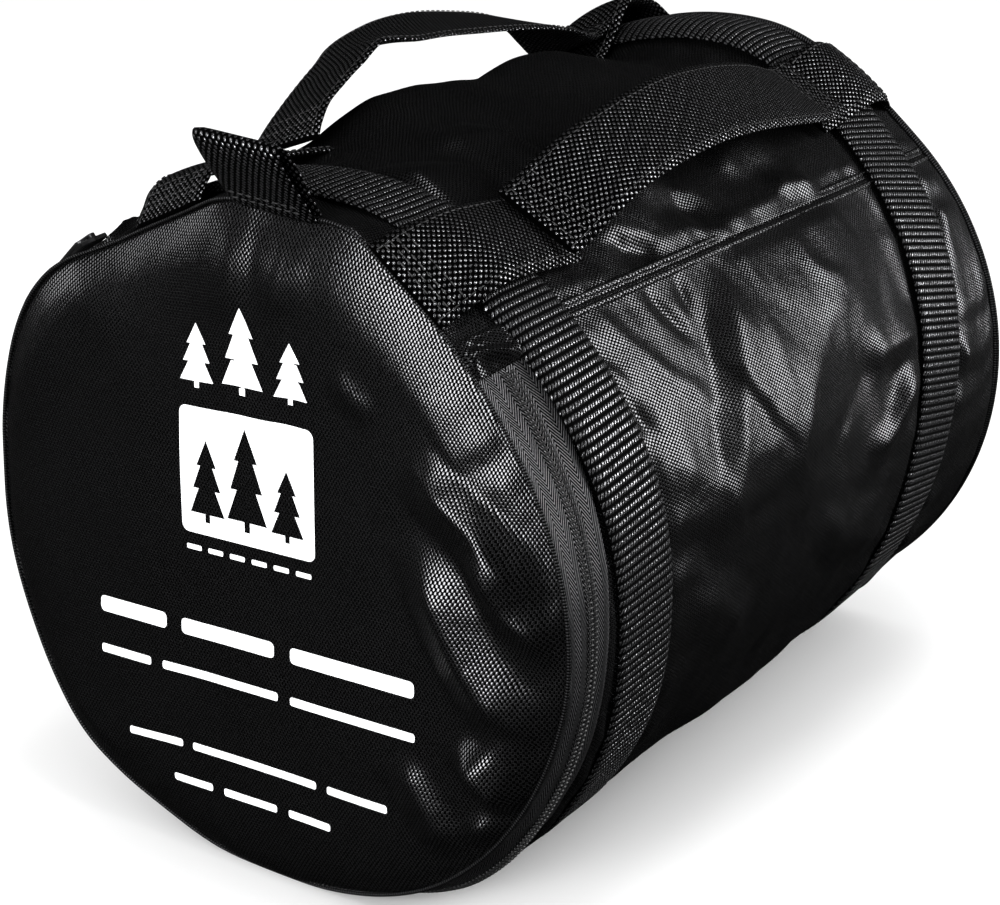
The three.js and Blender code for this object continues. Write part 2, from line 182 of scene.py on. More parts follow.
def smooth_line(points, count):
    """A smooth line through the points, as count points spaced evenly along it."""
    knots = np.asarray(points, float)
    padded = np.vstack([2 * knots[0] - knots[1], knots, 2 * knots[-1] - knots[-2]])
    t = np.linspace(0, 1, 24, endpoint=False)[:, None]
    parts = []
    for a, b, c, d in zip(padded, padded[1:], padded[2:], padded[3:]):
        square = (2 * a - 5 * b + 4 * c - d) * t**2
        parts.append(0.5 * (2 * b + (c - a) * t + square + (3 * b - a - 3 * c + d) * t**3))
    fine = np.vstack(parts + [knots[-1:]])
    length = lengths_along(fine)
    even = np.linspace(0, length[-1], count)
    return np.stack([np.interp(even, length, fine[:, k]) for k in range(fine.shape[1])], 1)


# ---------------------------------------------------------------- meshes
def grid_faces(rows, columns, start=0, wrap_rows=False, wrap_columns=False):
    r = np.arange(rows if wrap_rows else rows - 1)[:, None]
    c = np.arange(columns if wrap_columns else columns - 1)[None]
    r2, c2 = (r + 1) % rows, (c + 1) % columns
    corners = [r * columns + c, r * columns + c2, r2 * columns + c2, r2 * columns + c]
    return np.stack(np.broadcast_arrays(*corners), -1).reshape(-1, 4) + start


def make_object(name, points, faces, flat, material, smooth=True, slack=True):
    """A mesh object from points in the case's frame. flat is where each lies on its uncut cloth, in mm."""
    mesh = bpy.data.meshes.new(name)
    points = np.asarray(points, float)
    points = to_row(slump(points) if slack else points).reshape(-1, 3)
    mesh.from_pydata(points, [], [list(map(int, f)) for f in faces])
    values = np.zeros((len(points), 3), np.float32)
    flat = np.asarray(flat, float).reshape(len(points), -1)
    values[:, : flat.shape[1]] = flat
    attribute = mesh.attributes.new("flat", "FLOAT_VECTOR", "POINT")
    attribute.data.foreach_set("vector", values.ravel())
    made = bmesh.new()
    made.from_mesh(mesh)
    bmesh.ops.recalc_face_normals(made, faces=made.faces)
    made.to_mesh(mesh)
    made.free()
    mesh.polygons.foreach_set("use_smooth", [smooth] * len(mesh.polygons))
    mesh.materials.append(material)
    obj = bpy.data.objects.new(name, mesh)
    bpy.context.scene.collection.objects.link(obj)
    return obj


def slab(name, outer, inner, flat, material, closed=False, finer=False, slack=True):
    """A sheet between two grids of points, rows by columns. closed joins the last row to the first."""
    rows, columns = outer.shape[:2]
    n = rows * columns
    ids = np.arange(n).reshape(rows, columns)
    edges = [] if closed else [ids[0], ids[-1]]
    edges += [np.append(line, line[:1]) if closed else line for line in (ids[:, 0], ids[:, -1])]
    faces = [grid_faces(rows, columns, 0, closed), grid_faces(rows, columns, n, closed)[:, ::-1]]
    for line in edges:
        faces.append(np.stack([line[:-1], line[1:], line[1:] + n, line[:-1] + n], 1))
    points = np.concatenate([outer.reshape(-1, 3), inner.reshape(-1, 3)])
    flat = np.asarray(flat, float).reshape(n, -1)
    flat = np.concatenate([flat, flat])
    obj = make_object(name, points, np.vstack(faces), flat, material, slack=slack)
    if finer:
        modifier = obj.modifiers.new("finer", "SUBSURF")
        modifier.levels = modifier.render_levels = 1
    return obj


def grid_normals(points):
    """Unit normals of a grid of points. Their side depends on the order of rows and columns."""
    return unit(np.cross(np.gradient(points, axis=0), np.gradient(points, axis=1)))


def capsules(name, starts, ends, normals, radius, material, slack=True):
    """Many short rounded rods in one mesh: stitches and coil teeth."""
    starts, ends = np.asarray(starts, float), np.asarray(ends, float)
    sides = 6
    along = unit(ends - starts)
    side = unit(np.cross(along, normals))
    up = np.cross(side, along)
    turn = np.linspace(0, 2 * np.pi, sides, endpoint=False)
    length = np.linalg.norm(ends - starts, axis=1)
    offset = side[:, None] * np.cos(turn)[None, :, None] + up[:, None] * np.sin(turn)[None, :, None]
    rings = []
    for where, size in [(0.0, 0.35), (0.12, 0.85), (0.5, 1.0), (0.88, 0.85), (1.0, 0.35)]:
        centre = starts + along * (length * where)[:, None]
        rings.append(centre[:, None] + offset * (radius * size))
    layers = len(rings)
    faces = []
    body = grid_faces(layers, sides, 0, False, True)
    for base in range(0, len(starts) * layers * sides, layers * sides):
        faces.extend((body + base).tolist())
        faces.append([base + s for s in range(sides)][::-1])
        faces.append([base + (layers - 1) * sides + s for s in range(sides)])
    points = np.stack(rings, 1).reshape(-1, 3)
    return make_object(name, points, faces, points, material, slack=slack)


# ---------------------------------------------------------------- materials
class Look:
    """A short way to write node materials. The methods give back output sockets, and finish the material."""

    def __init__(self, name):
        self.material = bpy.data.materials.new(name)
        self.material.use_nodes = True
        self.tree = self.material.node_tree
        self.shader = self.tree.nodes["Principled BSDF"]

    def node(self, kind, **inputs):
        made = self.tree.nodes.new(kind)
        for key, value in inputs.items():
            self.feed(made.inputs[key.replace("_", " ")], value)
        return made

    def feed(self, socket, value):
        if isinstance(value, bpy.types.NodeSocket):
            self.tree.links.new(value, socket)
        else:
            socket.default_value = value

    def math(self, operation, a, b=0.0, c=0.0):
        made = self.tree.nodes.new("ShaderNodeMath")
        made.operation = operation
        for socket, value in zip(made.inputs, (a, b, c)):
            self.feed(socket, value)
        return made.outputs[0]

    def times(self, a, b):
        return self.math("MULTIPLY", a, b)

    def plus(self, a, b):
        return self.math("ADD", a, b)

    def scaled(self, value, by, start):
        """value times by, plus start."""
        return self.math("MULTIPLY_ADD", value, by, start)

    def flat(self):
        """The place on the uncut material, whole and as its two parts."""
        made = self.tree.nodes.new("ShaderNodeAttribute")
        made.attribute_name = "flat"
        split = self.node("ShaderNodeSeparateXYZ", Vector=made.outputs["Vector"])
        return made.outputs["Vector"], split.outputs["X"], split.outputs["Y"]

    def wave(self, value, pitch, shift=0.0):
        """A sine along value, one turn to each pitch, from -1 to 1."""
        return self.math("SINE", self.scaled(value, 2 * math.pi / pitch, shift))

    def noise(self, vector, scale, detail=2.0, roughness=0.5):
        made = self.node("ShaderNodeTexNoise", Vector=vector, Scale=scale, Detail=detail)
        self.feed(made.inputs["Roughness"], roughness)
        return made.outputs["Fac"]

    def ramp(self, value, low, high, to_low=0.0, to_high=1.0):
        made = self.node("ShaderNodeMapRange", Value=value)
        for socket, number in zip(list(made.inputs)[1:5], (low, high, to_low, to_high)):
            socket.default_value = number
        return made.outputs[0]

    def mix(self, share, a, b):
        made = self.tree.nodes.new("ShaderNodeMix")
        made.data_type = "RGBA"
        self.feed(made.inputs[0], share)
        self.feed(made.inputs[6], a)
        self.feed(made.inputs[7], b)
        return made.outputs[2]

    def bump(self, height, distance, strength=1.0, under=None):
        made = self.node("ShaderNodeBump", Height=height, Strength=strength, Distance=distance * MM)
        if under is not None:
            self.feed(made.inputs["Normal"], under)
        return made.outputs["Normal"]

    def finish(self, colour, roughness, normal=None, specular=0.5, metallic=0.0):
        self.feed(self.shader.inputs["Base Color"], colour)
        self.feed(self.shader.inputs["Roughness"], roughness)
        self.shader.inputs["Specular IOR Level"].default_value = specular
        self.shader.inputs["Metallic"].default_value = metallic
        if normal is not None:
            self.feed(self.shader.inputs["Normal"], normal)
        return self.material


def grey(value, blue=1.04):
    return (value, value, value * blue, 1.0)


def coated_cloth(name):
    """Black coated nylon: smooth threads mirror the light as staggered dots, with dull gaps between."""
    look = Look(name)
    flat, u, v = look.flat()
    drift = look.times(look.noise(flat, 0.05, 1.0), 2.2)
    across = look.wave(look.plus(u, drift), THREAD_U)
    along = look.wave(look.plus(v, drift), THREAD_V)
    weave = look.times(across, along)
    uneven = look.noise(flat, 1.4, 1.0)
    dots = look.ramp(look.scaled(uneven, 0.9, weave), 0.35, 0.85)
    worn = look.ramp(look.noise(flat, 0.03, 4.0, 0.6), 0.35, 0.7)
    colour = look.mix(dots, grey(0.0007), grey(0.086))
    smooth = look.ramp(worn, 0.0, 1.0, 0.17, 0.24)
    roughness = look.plus(smooth, look.times(look.math("SUBTRACT", 1.0, dots), 0.75))
    creases = look.bump(look.noise(flat, 0.1, 3.0, 0.5), 0.3)
    normal = look.bump(look.math("MAXIMUM", weave, -0.1), 0.03, 1.0, creases)
    return look.finish(colour, roughness, normal, metallic=LUSTRE)


def ribbed_webbing(name):
    """Band webbing: its ribs are geometry, and each rib is a row of short slanting bright threads."""
    look = Look(name)
    flat, across, along = look.flat()
    shift = look.times(look.math("FLOOR", look.math("DIVIDE", along, RIB)), 2.1)
    slant = look.scaled(along, 0.55, look.plus(across, shift))
    ticks = look.wave(look.scaled(look.noise(flat, 0.5, 1.0), 1.2, slant), 1.3)
    crest = look.wave(along, RIB, -math.pi / 2)
    thread = look.times(look.ramp(ticks, -0.6, 0.5), look.ramp(crest, -0.6, 0.4))
    uneven = look.noise(flat, 1.1, 2.0)
    bright = look.times(thread, look.ramp(uneven, 0.3, 0.65, 0.15, 1.0))
    colour = look.mix(bright, grey(0.003), grey(0.3))
    roughness = look.ramp(bright, 0.0, 0.7, 1.0, 0.26)
    normal = look.bump(look.scaled(uneven, 0.5, thread), 0.34, 1.0)
    return look.finish(colour, roughness, normal, metallic=LUSTRE)


def dotted_webbing(name):
    """Handle webbing: rows of small raised floats, each row shifted half a step."""
    look = Look(name)
    flat, across, along = look.flat()
    slant = look.scaled(along, 0.22, across)
    weave = look.times(look.wave(slant, 2.1), look.wave(along, 2.5))
    uneven = look.noise(flat, 1.0, 2.0)
    dots = look.ramp(look.scaled(uneven, 1.2, weave), 0.85, 1.4)
    fine = look.wave(look.plus(across, along), 0.62)
    colour = look.mix(dots, grey(0.0012), grey(0.3))
    roughness = look.ramp(dots, 0.0, 0.7, 1.0, 0.26)
    threads = look.bump(fine, 0.04, 0.5)
    normal = look.bump(look.ramp(weave, -0.6, 1.0), 0.32, 1.0, threads)
    return look.finish(colour, roughness, normal, metallic=LUSTRE)


def fine_weave(name, pattern, scale, patchiness, low, high, light, depth):
    """Cloth with one fine woven pattern: dark where it is under low, and lit where it is over high."""
    look = Look(name)
    flat, across, along = look.flat()
    uneven = look.noise(flat, scale, 2.0)
    lit = look.ramp(look.scaled(uneven, patchiness, pattern(look, across, along)), low, high)
    colour = look.mix(lit, grey(0.002), grey(light))
    return look.finish(colour, look.ramp(lit, 0, 1, 0.8, 0.4), look.bump(lit, depth), metallic=LUSTRE)


def herringbone(look, across, along):
    """Fine slanting lines that turn back every few millimetres."""
    zigzag = look.times(look.math("PINGPONG", across, 2.9), 1.7)
    return look.wave(look.plus(along, zigzag), 1.5)


def cross_ribs(look, across, along):
    """The fine ribs of grosgrain."""
    return look.wave(along, 0.9)


def speckled(name, dark, light, scale, roughness, depth, specular=0.5, metallic=0.0):
    """Moulded plastic, thread or metal: fine speckle in colour, roughness and surface."""
    look = Look(name)
    place = look.tree.nodes.new("ShaderNodeNewGeometry").outputs["Position"]
    fine = look.noise(place, scale, 3.0)
    broad = look.noise(place, scale / 22, 3.0)
    share = look.ramp(look.plus(fine, broad), 0.7, 1.35)
    colour = look.mix(share, dark, light)
    rough = look.ramp(share, 0, 1, roughness[0], roughness[1])
    return look.finish(colour, rough, look.bump(fine, depth), specular, metallic)


def ink(name):
    """White screen print: it takes the weave of the cloth, and is thin in places."""
    look = Look(name)
    flat, u, v = look.flat()
    weave = look.times(look.wave(u, THREAD_U), look.wave(v, THREAD_V))
    worn = look.ramp(look.scaled(weave, 0.16, look.noise(flat, 0.7, 3.0)), 0.16, 0.34)
    colour = look.mix(worn, grey(0.35), (0.86, 0.87, 0.88, 1))
    return look.finish(colour, 0.6, look.bump(weave, 0.05), specular=0.3)


CLOTH = coated_cloth("coated_cloth")
BAND_WEB = ribbed_webbing("band_webbing")
HANDLE_WEB = dotted_webbing("handle_webbing")
TAPE = fine_weave("zip_tape_weave", herringbone, 1.5, 1.0, 0.2, 1.5, 0.22, 0.2)
BINDING = fine_weave("seam_binding_weave", cross_ribs, 0.8, 0.8, -0.3, 1.4, 0.07, 0.1)
COIL_PLASTIC = speckled("coil_nylon", grey(0.002), grey(0.02), 2600, (0.5, 0.34), 0.03)
THREAD = speckled("sewing_thread", grey(0.004), grey(0.03), 3000, (0.6, 0.45), 0.03)
ZIP_METAL = speckled("black_zip_metal", grey(0.02), grey(0.07), 1500, (0.42, 0.25), 0.02, 0.5, 0.85)
DRUM_PLASTIC = speckled("moulded_drum", grey(0.008), grey(0.02), 900, (0.5, 0.36), 0.05)
LID_PLASTIC = speckled("moulded_lid", grey(0.01), grey(0.026), 900, (0.55, 0.4), 0.06)
STEEL = speckled("turned_steel", grey(0.42), grey(0.62), 700, (0.34, 0.2), 0.015, 0.5, 1.0)
INK = ink("white_print")

# ---------------------------------------------------------------- cloth that is let settle
SETTLE_ROOM = 0.8
SETTLE_ROUNDS = 8
# How fully each kind of link resists being stretched and being pressed together.
LINKS = {"thread": (1.0, 0.8), "bias": (0.35, 0.12), "bend": (0.0, 0.25)}


def cloth_links(rows, columns, wrap):
    """Pairs of grid points that the cloth links, in groups that share no point: (first, second, kind)."""
    ids = np.arange(rows * columns).reshape(rows, columns)
    groups = []
    for row_step, column_step, kind in [
        (0, 1, "thread"), (1, 0, "thread"), (1, 1, "bias"), (1, -1, "bias"), (0, 2, "bend"), (2, 0, "bend"),
    ]:
        first = ids[: rows - row_step]
        second = np.roll(ids, -column_step, 1)[row_step:]
        r = np.broadcast_to(np.arange(first.shape[0])[:, None], first.shape)
        c = np.broadcast_to(np.arange(columns)[None], first.shape)
        inside = np.full(first.shape, wrap) | (c + column_step >= 0) & (c + column_step < columns)
        colour = (r // row_step) % 2 if row_step else (c // column_step) % 2
        for k in (0, 1):
            chosen = inside & (colour == k)
            groups.append((first[chosen], second[chosen], kind))
    return groups


def held_near(now, laid):
    """Keeps settling cloth within SETTLE_ROOM of the folds that it was laid in."""
    moved = now - laid
    far = np.linalg.norm(moved, axis=1, keepdims=True)
    return laid + moved * np.minimum(1, SETTLE_ROOM / np.maximum(far, 1e-9))


def settle_cloth(grid, wrap, free, gravity, ease, limits):
    """Lets a grid of cloth settle near the folds that it is laid in. limits() keeps it in its space.

    It is cut to the laid lengths times ease. Threads resist stretching fully and pressing together only in
    part, so slack cloth buckles into folds.
    """
    rows, columns = grid.shape[:2]
    laid = grid.reshape(-1, 3).copy()
    now = laid.copy()
    before = now.copy()
    weight = free.reshape(-1).astype(float)
    groups = []
    for first, second, kind in cloth_links(rows, columns, wrap):
        rest = np.linalg.norm(laid[second] - laid[first], axis=1) * ease
        total = np.maximum(weight[first] + weight[second], 1e-9)
        share = (weight[first] / total)[:, None], (weight[second] / total)[:, None]
        groups.append((first, second, rest, share, *LINKS[kind]))
    for _ in range(10):
        velocity = (now - before) * 0.94
        before = now.copy()
        now = now + (velocity + [0, 0, -gravity]) * weight[:, None]
        for _ in range(SETTLE_ROUNDS):
            for first, second, rest, share, stretch, squeeze in groups:
                apart = now[second] - now[first]
                length = np.maximum(np.linalg.norm(apart, axis=1), 1e-6)
                error = (length - rest) / length
                error = (error * np.where(error > 0, stretch, squeeze))[:, None] * apart
                now[first] += error * share[0]
                now[second] -= error * share[1]
            now = limits(held_near(now, laid))
    return now.reshape(grid.shape)


# Stations of each band's middle at the top and at the bottom, then how sharply it leans between them.
FRONT_BAND = (28.0, 50.0, 1)
REAR_BAND = (258.0, 220.0, 2)


def band_station(clock, top, bottom, power):
    upness = (1 + np.cos(arc(clock))) / 2
    return bottom + (top - bottom) * upness**power


def waves(u, v, count, longest, shortest, seed):
    """A smooth uneven field from about -1 to 1 over u and v in mm."""
    dice = np.random.RandomState(seed)
    total = 0
    for _ in range(count):
        length = math.exp(dice.uniform(math.log(shortest), math.log(longest)))
        turn = dice.uniform(0, math.pi)
        phase = dice.uniform(0, 2 * math.pi)
        total = total + np.sin((u * math.cos(turn) + v * math.sin(turn)) * 2 * math.pi / length + phase)
    return total / math.sqrt(count)


# ---------------------------------------------------------------- body cloth
BODY_COLUMNS = 288
BODY_ROWS = 112
BODY_END = CASE_LENGTH - 2.0
body_clock = np.linspace(0, 360, BODY_COLUMNS, endpoint=False) + SEAM_RIGHT
body_station = np.linspace(BODY_START, BODY_END, BODY_ROWS)
clock_grid, station_grid = np.meshgrid(body_clock, body_station)
LEFT_COLUMN = int(round((SEAM_LEFT + 360 - SEAM_RIGHT) / 360 * BODY_COLUMNS))
CELL_ROUND = 2 * math.pi * CASE_RADIUS / BODY_COLUMNS


def ridge(u, v, path, left, right, height):
    """A fold along a path of (u, v) points: a crest with a flat slope of its own width on each side.

    Seen along the path, left is the side that the u axis turns to when it turns towards v. Ends fade out.
    """
    best = np.full(np.shape(u), 1e9)
    share = np.zeros(np.shape(u))
    side = np.zeros(np.shape(u))
    path = smooth_line(path, 14)
    for k in range(len(path) - 1):
        a, b = path[k], path[k + 1]
        length = np.sum((b - a) ** 2)
        t = np.clip(((u - a[0]) * (b[0] - a[0]) + (v - a[1]) * (b[1] - a[1])) / length, 0, 1)
        away = np.hypot(u - a[0] - t * (b[0] - a[0]), v - a[1] - t * (b[1] - a[1]))
        nearer = away < best
        best = np.where(nearer, away, best)
        share = np.where(nearer, (k + t) / (len(path) - 1), share)
        side = np.where(nearer, (b[0] - a[0]) * (v - a[1]) - (b[1] - a[1]) * (u - a[0]), side)
    fade = np.clip(np.minimum(share, 1 - share) * 3.2, 0, 1)
    fade = fade * fade * (3 - 2 * fade)
    return height * fade * np.clip(1 - best / np.where(side > 0, left, right), 0, 1)


def facets(u, v, count, longest, shortest, seed):
    """Crumpled cloth: flat facets that meet in creases, from about -1 to 1."""
    dice = np.random.RandomState(seed)
    total = 0
    for _ in range(count):
        length = math.exp(dice.uniform(math.log(shortest), math.log(longest)))
        turn = dice.uniform(0, math.pi)
        bend = dice.uniform(0, 2 * math.pi)
        swing = length * 0.35 * np.sin((v * math.cos(turn) - u * math.sin(turn)) / (length * 1.3) + bend)
        phase = (u * math.cos(turn) + v * math.sin(turn) + swing) / length + dice.uniform()
        total = total + (4 * np.abs(phase - np.floor(phase) - 0.5) - 1) * length / longest
    return total / math.sqrt(count)


def puckers(distance, along, reach, period, seed):
    """Short folds that run away from a seam or band: distance from it and place along it, in mm."""
    dice = np.random.RandomState(seed)
    knots = dice.uniform(0, 1, 400)
    drift = np.interp(along / 23.0 % 400, np.arange(400), dice.uniform(-0.6, 0.6, 400))
    phase = along / period + drift
    size = knots[np.floor(phase).astype(int) % 400] ** 0.7
    lean = np.interp(along / 41.0 % 400, np.arange(400), dice.uniform(-1, 1, 400))
    phase = phase + 0.28 * distance / period * lean
    crest = (1 - 2 * np.abs(phase - np.floor(phase) - 0.5)) ** 1.1
    return size * crest * np.exp(-distance / (reach * (0.5 + size)))


# The biggest folds: places as (mm round from the right-hand seam, station), then the widths of the sides
# towards the rear or down and towards the front or up, and the height.
BODY_FOLDS = [
    ([(6, 126), (11, 123), (26, 112), (40, 104), (53, 96), (66, 92), (80, 90)], 50, 11, 3.8),
    ([(26, 222), (27, 192), (33, 166), (44, 148), (56, 134), (70, 124), (76, 94)], 28, 48, 5.2),
    ([(55, 178), (53, 204), (54, 224)], 13, 9, 3.4),
    ([(62, 216), (71, 206), (82, 194), (84, 176)], 8, 7, 3.0),
    ([(46, 50), (61, 76), (75, 90), (88, 96)], 30, 18, 2.8),
    ([(7, 58), (13, 64), (27, 72), (40, 87), (50, 92)], 4, 5, 0.9),
    ([(3, 172), (10, 169), (19, 168), (29, 184)], 5, 6, 1.1),
    ([(2, 84), (12, 88), (24, 94)], 4, 4, -1.7),
    ([(1, 105), (8, 102), (16, 98)], 3.5, 4, -1.6),
    ([(22, 45), (32, 51), (44, 58)], 4, 4, -1.6),
    ([(9, 46), (17, 51), (25, 58)], 3.5, 4, -1.2),
    ([(-28, 74), (-31, 100), (-32, 122), (-30, 140)], 30, 27, 4.8),
    ([(-14, 84), (-9, 96), (-4, 104)], 5, 9, -2.6),
    ([(-16, 108), (-18, 128), (-8, 146)], 8, 9, -3.0),
    ([(-24, 160), (-30, 180), (-28, 202)], 20, 11, 3.4),
    ([(-12, 176), (-8, 192), (-2, 204)], 6, 7, 2.2),
    ([(-70, 66), (-69, 88), (-62, 112)], 15, 30, 6.0),
    ([(-64, 38), (-62, 56), (-54, 76)], 13, 26, 5.0),
    ([(96, 62), (104, 84), (122, 108)], 12, 14, 2.4),
    ([(92, 150), (110, 166), (120, 204)], 16, 12, 2.6),
    ([(150, 80), (158, 130), (150, 190)], 14, 18, 2.6),
    ([(-100, 60), (-112, 96), (-108, 150), (-96, 206)], 16, 24, 3.0),
    ([(-128, 66), (-150, 104), (-142, 150)], 16, 12, 2.6),
    ([(-176, 70), (-190, 110), (-200, 170)], 18, 14, 3.2),
    ([(-214, 60), (-232, 96), (-226, 150), (-240, 200)], 14, 20, 2.8),
]


# Where the slack top cloth stands up: clock angle, station, half its width in degrees, half its length in
# mm and its height.
PUFFS = [
    (-15, 102, 27, 60, 11.0),
    (-15, 182, 27, 58, 12.5),
    (-15, 132, 22, 30, 4.0),
    (-44, 140, 26, 80, 4.0),
]
# The cloth's radius before it is folded, the ones that it stays between and the greatest one under a band.
BODY_RADIUS = 105.8
BODY_LOW = 102.6
BODY_HIGH = 119.0
UNDER_BAND = 106.0


def body_cloth():
    """The body's cloth: folded as it came out of use, then let settle over the drum between the bands."""
    turn_mm = 2 * math.pi * CASE_RADIUS
    round_mm = arc(clock_grid - SEAM_RIGHT) * CASE_RADIUS
    centred = (round_mm + turn_mm * 0.42) % turn_mm - turn_mm * 0.42
    middles = [band_station(clock_grid, *numbers) for numbers in (FRONT_BAND, REAR_BAND)]
    from_bands = np.min([np.abs(station_grid - middle) for middle in middles], 0) - 14
    from_left = (round_mm - LEFT_COLUMN * CELL_ROUND + 80) % turn_mm - 80
    from_seams = np.minimum(np.abs(centred), np.abs(from_left))
    clear = np.clip(from_bands / 5, 0, 1) * np.clip(from_seams / 7, 0, 1)
    clear = clear * np.clip((BODY_END - station_grid) / 6, 0, 1)
    clear = clear * np.clip((station_grid - BODY_START) / 5, 0, 1)
    lift = 0.5 * facets(round_mm, station_grid, 9, 62, 24, 3)
    lift = lift + 0.2 * facets(round_mm, station_grid, 8, 22, 11, 4)
    for fold in BODY_FOLDS:
        lift = lift + ridge(centred, station_grid, *fold)
    from_top = (clock_grid + 180) % 360 - 180
    for clock_at, station_at, half_turn, half_length, height in PUFFS:
        puff = height * bump(from_top, clock_at, half_turn)
        lift = lift + puff * bump(station_grid, station_at, half_length)
    deeper_behind = np.where(station_grid > middles[1], 2.2, 1.0)
    lift = lift + 2.4 * puckers(np.abs(from_bands), round_mm, 9, 21, 5) * deeper_behind
    lift = lift + 2.0 * puckers(BODY_END - station_grid, round_mm, 14, 17, 6)
    lift = lift + 1.5 * puckers(from_seams, station_grid, 8, 12.5, 7)
    start = around(clock_grid, station_grid, BODY_RADIUS + lift * clear)
    start[0] = around(body_clock, BODY_START, 105.6)
    start[-1] = around(body_clock, BODY_END, 105.4)
    free = np.ones(start.shape[:2], bool)
    free[[0, -1]] = False
    seams = np.zeros(free.shape, bool)
    seams[:, [0, LEFT_COLUMN]] = True
    held = (seams & free).ravel()
    ground = 1.0 - AXIS_HEIGHT
    seam_place = around(clock_grid, station_grid, 105.7).reshape(-1, 3)[held]

    def limits(now):
        under = np.any([np.abs(now[:, 1] - middle.ravel()) < 13.5 for middle in middles], 0)
        radius = np.hypot(now[:, 0], now[:, 2])
        scale = np.clip(radius, BODY_LOW, np.where(under, UNDER_BAND, BODY_HIGH)) / np.maximum(radius, 1e-6)
        now[:, 0] *= scale
        now[:, 2] = np.maximum(now[:, 2] * scale, ground)
        now[held, 0] = seam_place[:, 0]
        now[held, 2] = np.maximum(seam_place[:, 2], ground)
        return now

    return settle_cloth(start, True, free, 0.03, 1.002, limits)


body = body_cloth()
body_flat = np.stack([arc(clock_grid) * CASE_RADIUS, station_grid], -1)


def panel(name, first, last, node):
    """One body panel: the columns of the settled cloth from one lengthwise seam to the other."""
    columns = np.arange(first, last + 1) % BODY_COLUMNS
    outer = body[:, columns]
    normal = grid_normals(outer)
    normal *= np.sign((normal * outwards_at(outer)).sum(-1, keepdims=True))
    flat = body_flat[:, columns].copy()
    flat[..., 0] = np.arange(first, last + 1) * CELL_ROUND
    obj = slab(name, outer, outer - normal * PANEL_THICKNESS, flat, CLOTH, finer=True)
    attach(obj, "case")
    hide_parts(node)


panel("wrap_panel_cloth", 0, LEFT_COLUMN, "wrap_panel")
panel("top_panel_cloth", LEFT_COLUMN, BODY_COLUMNS, "top_panel")

# ---------------------------------------------------------------- webbing
def webbing(name, centre, side, up, width, thickness, material, ribs=0.0, closed=False, curl=0.0,
            slack=True):
    """A strip of webbing along a line of points. side and up are unit vectors at each point.

    curl is how far its edges sink below its middle, as it hugs the case.
    """
    across = np.linspace(-1, 1, 13)
    shape = np.sqrt(np.clip(1 - np.abs(across) ** 7, 0, 1)) * 0.8 + 0.2
    along = lengths_along(centre)
    offset = side[:, None] * (across * width / 2)[None, :, None]
    offset = offset - up[:, None] * (curl * across[None, :, None] ** 2)
    rib = ribs * 0.5 * (1 - np.cos(along * 2 * math.pi / RIB))[:, None] * shape[None]
    lift = (thickness / 2 * shape)[None] + rib
    outer = centre[:, None] + offset + up[:, None] * lift[..., None]
    inner = centre[:, None] + offset - up[:, None] * (thickness / 2 * shape)[None, :, None]
    flat = np.stack(np.broadcast_arrays((across * width / 2)[None], along[:, None]), -1)
    return slab(name, outer, inner, flat, material, closed, slack=slack)


def line_frames(centre, side_hint, outward, closed=False):
    """Unit side and up vectors for a line of points, from a rough side and a rough outward direction."""
    if closed:
        tangent = unit(np.roll(centre, -1, 0) - np.roll(centre, 1, 0))
    else:
        tangent = unit(np.gradient(centre, axis=0))
    side = np.broadcast_to(side_hint, centre.shape)
    side = unit(side - tangent * (side * tangent).sum(1, keepdims=True))
    up = unit(np.cross(side, tangent))
    return side, up * np.sign((up * outward).sum(1, keepdims=True))


def band(name, numbers, node):
    count = int(round(2 * math.pi * BAND_RADIUS / RIB)) * 5
    clock = np.linspace(0, 360, count, endpoint=False)
    sway = 1.1 * np.sin(arc(clock * 2 + 40)) + 0.6 * np.sin(arc(clock * 5))
    radius = BAND_RADIUS + 0.25 * np.sin(arc(clock * 7))
    centre = around(clock, band_station(clock, *numbers) + sway, radius)
    centre = seat(centre, BAND_THICKNESS / 2 + 0.05)
    side, up = line_frames(centre, [0.0, 1.0, 0.0], outwards_at(centre), closed=True)
    obj = webbing(name, centre, side, up, WEB_WIDTH - 1, BAND_THICKNESS, BAND_WEB, ribs=0.26, closed=True)
    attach(obj, "case")
    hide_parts(node)


band("front_band_webbing", FRONT_BAND, "front_band")
band("rear_band_webbing", REAR_BAND, "rear_band")


def stitch_rows(name, rows, pitch=3.1, radius=0.24, slack=True):
    """Lines of stitches: each row is (points, normals) on the surface that they hold."""
    stitch = pitch * 0.68
    starts, ends, normals = [], [], []
    for points, normal in rows:
        length = lengths_along(points)
        for mark in np.arange(pitch * 0.2, length[-1] - stitch, pitch):
            where = [mark, mark + stitch]
            first, last = np.stack([np.interp(where, length, points[:, i]) for i in range(3)], 1)
            face = np.array([np.interp(mark, length, normal[:, i]) for i in range(3)])
            starts.append(first + face * radius * 0.35)
            ends.append(last + face * radius * 0.35)
            normals.append(face)
    return capsules(name, starts, ends, np.array(normals), radius, THREAD, slack)


def row_across(centre, side, up, k, thickness, curl=0.0):
    """A row of stitches across a strip of webbing, at the point k of its line."""
    across = np.linspace(-0.44, 0.44, 20)[:, None] * HANDLE_WIDTH
    sunk = curl * (across / HANDLE_WIDTH * 2) ** 2
    return centre[k] + side[k] * across + up[k] * (thickness / 2 - sunk), np.tile(up[k], (20, 1))


def rows_along(centre, side, up, curl=0.0):
    """A row of stitches along each edge of a strap or handle."""
    rows = []
    for edge in (-0.42, 0.42):
        sunk = curl * (edge * 2) ** 2
        rows.append((centre + side * edge * HANDLE_WIDTH + up * (STRAP_THICKNESS / 2 - sunk), up))
    return rows


# How far the straps' edges sink below their middles, and a strap's radius where it crosses a band.
CURL = 1.1
OVER_BAND = 109.6


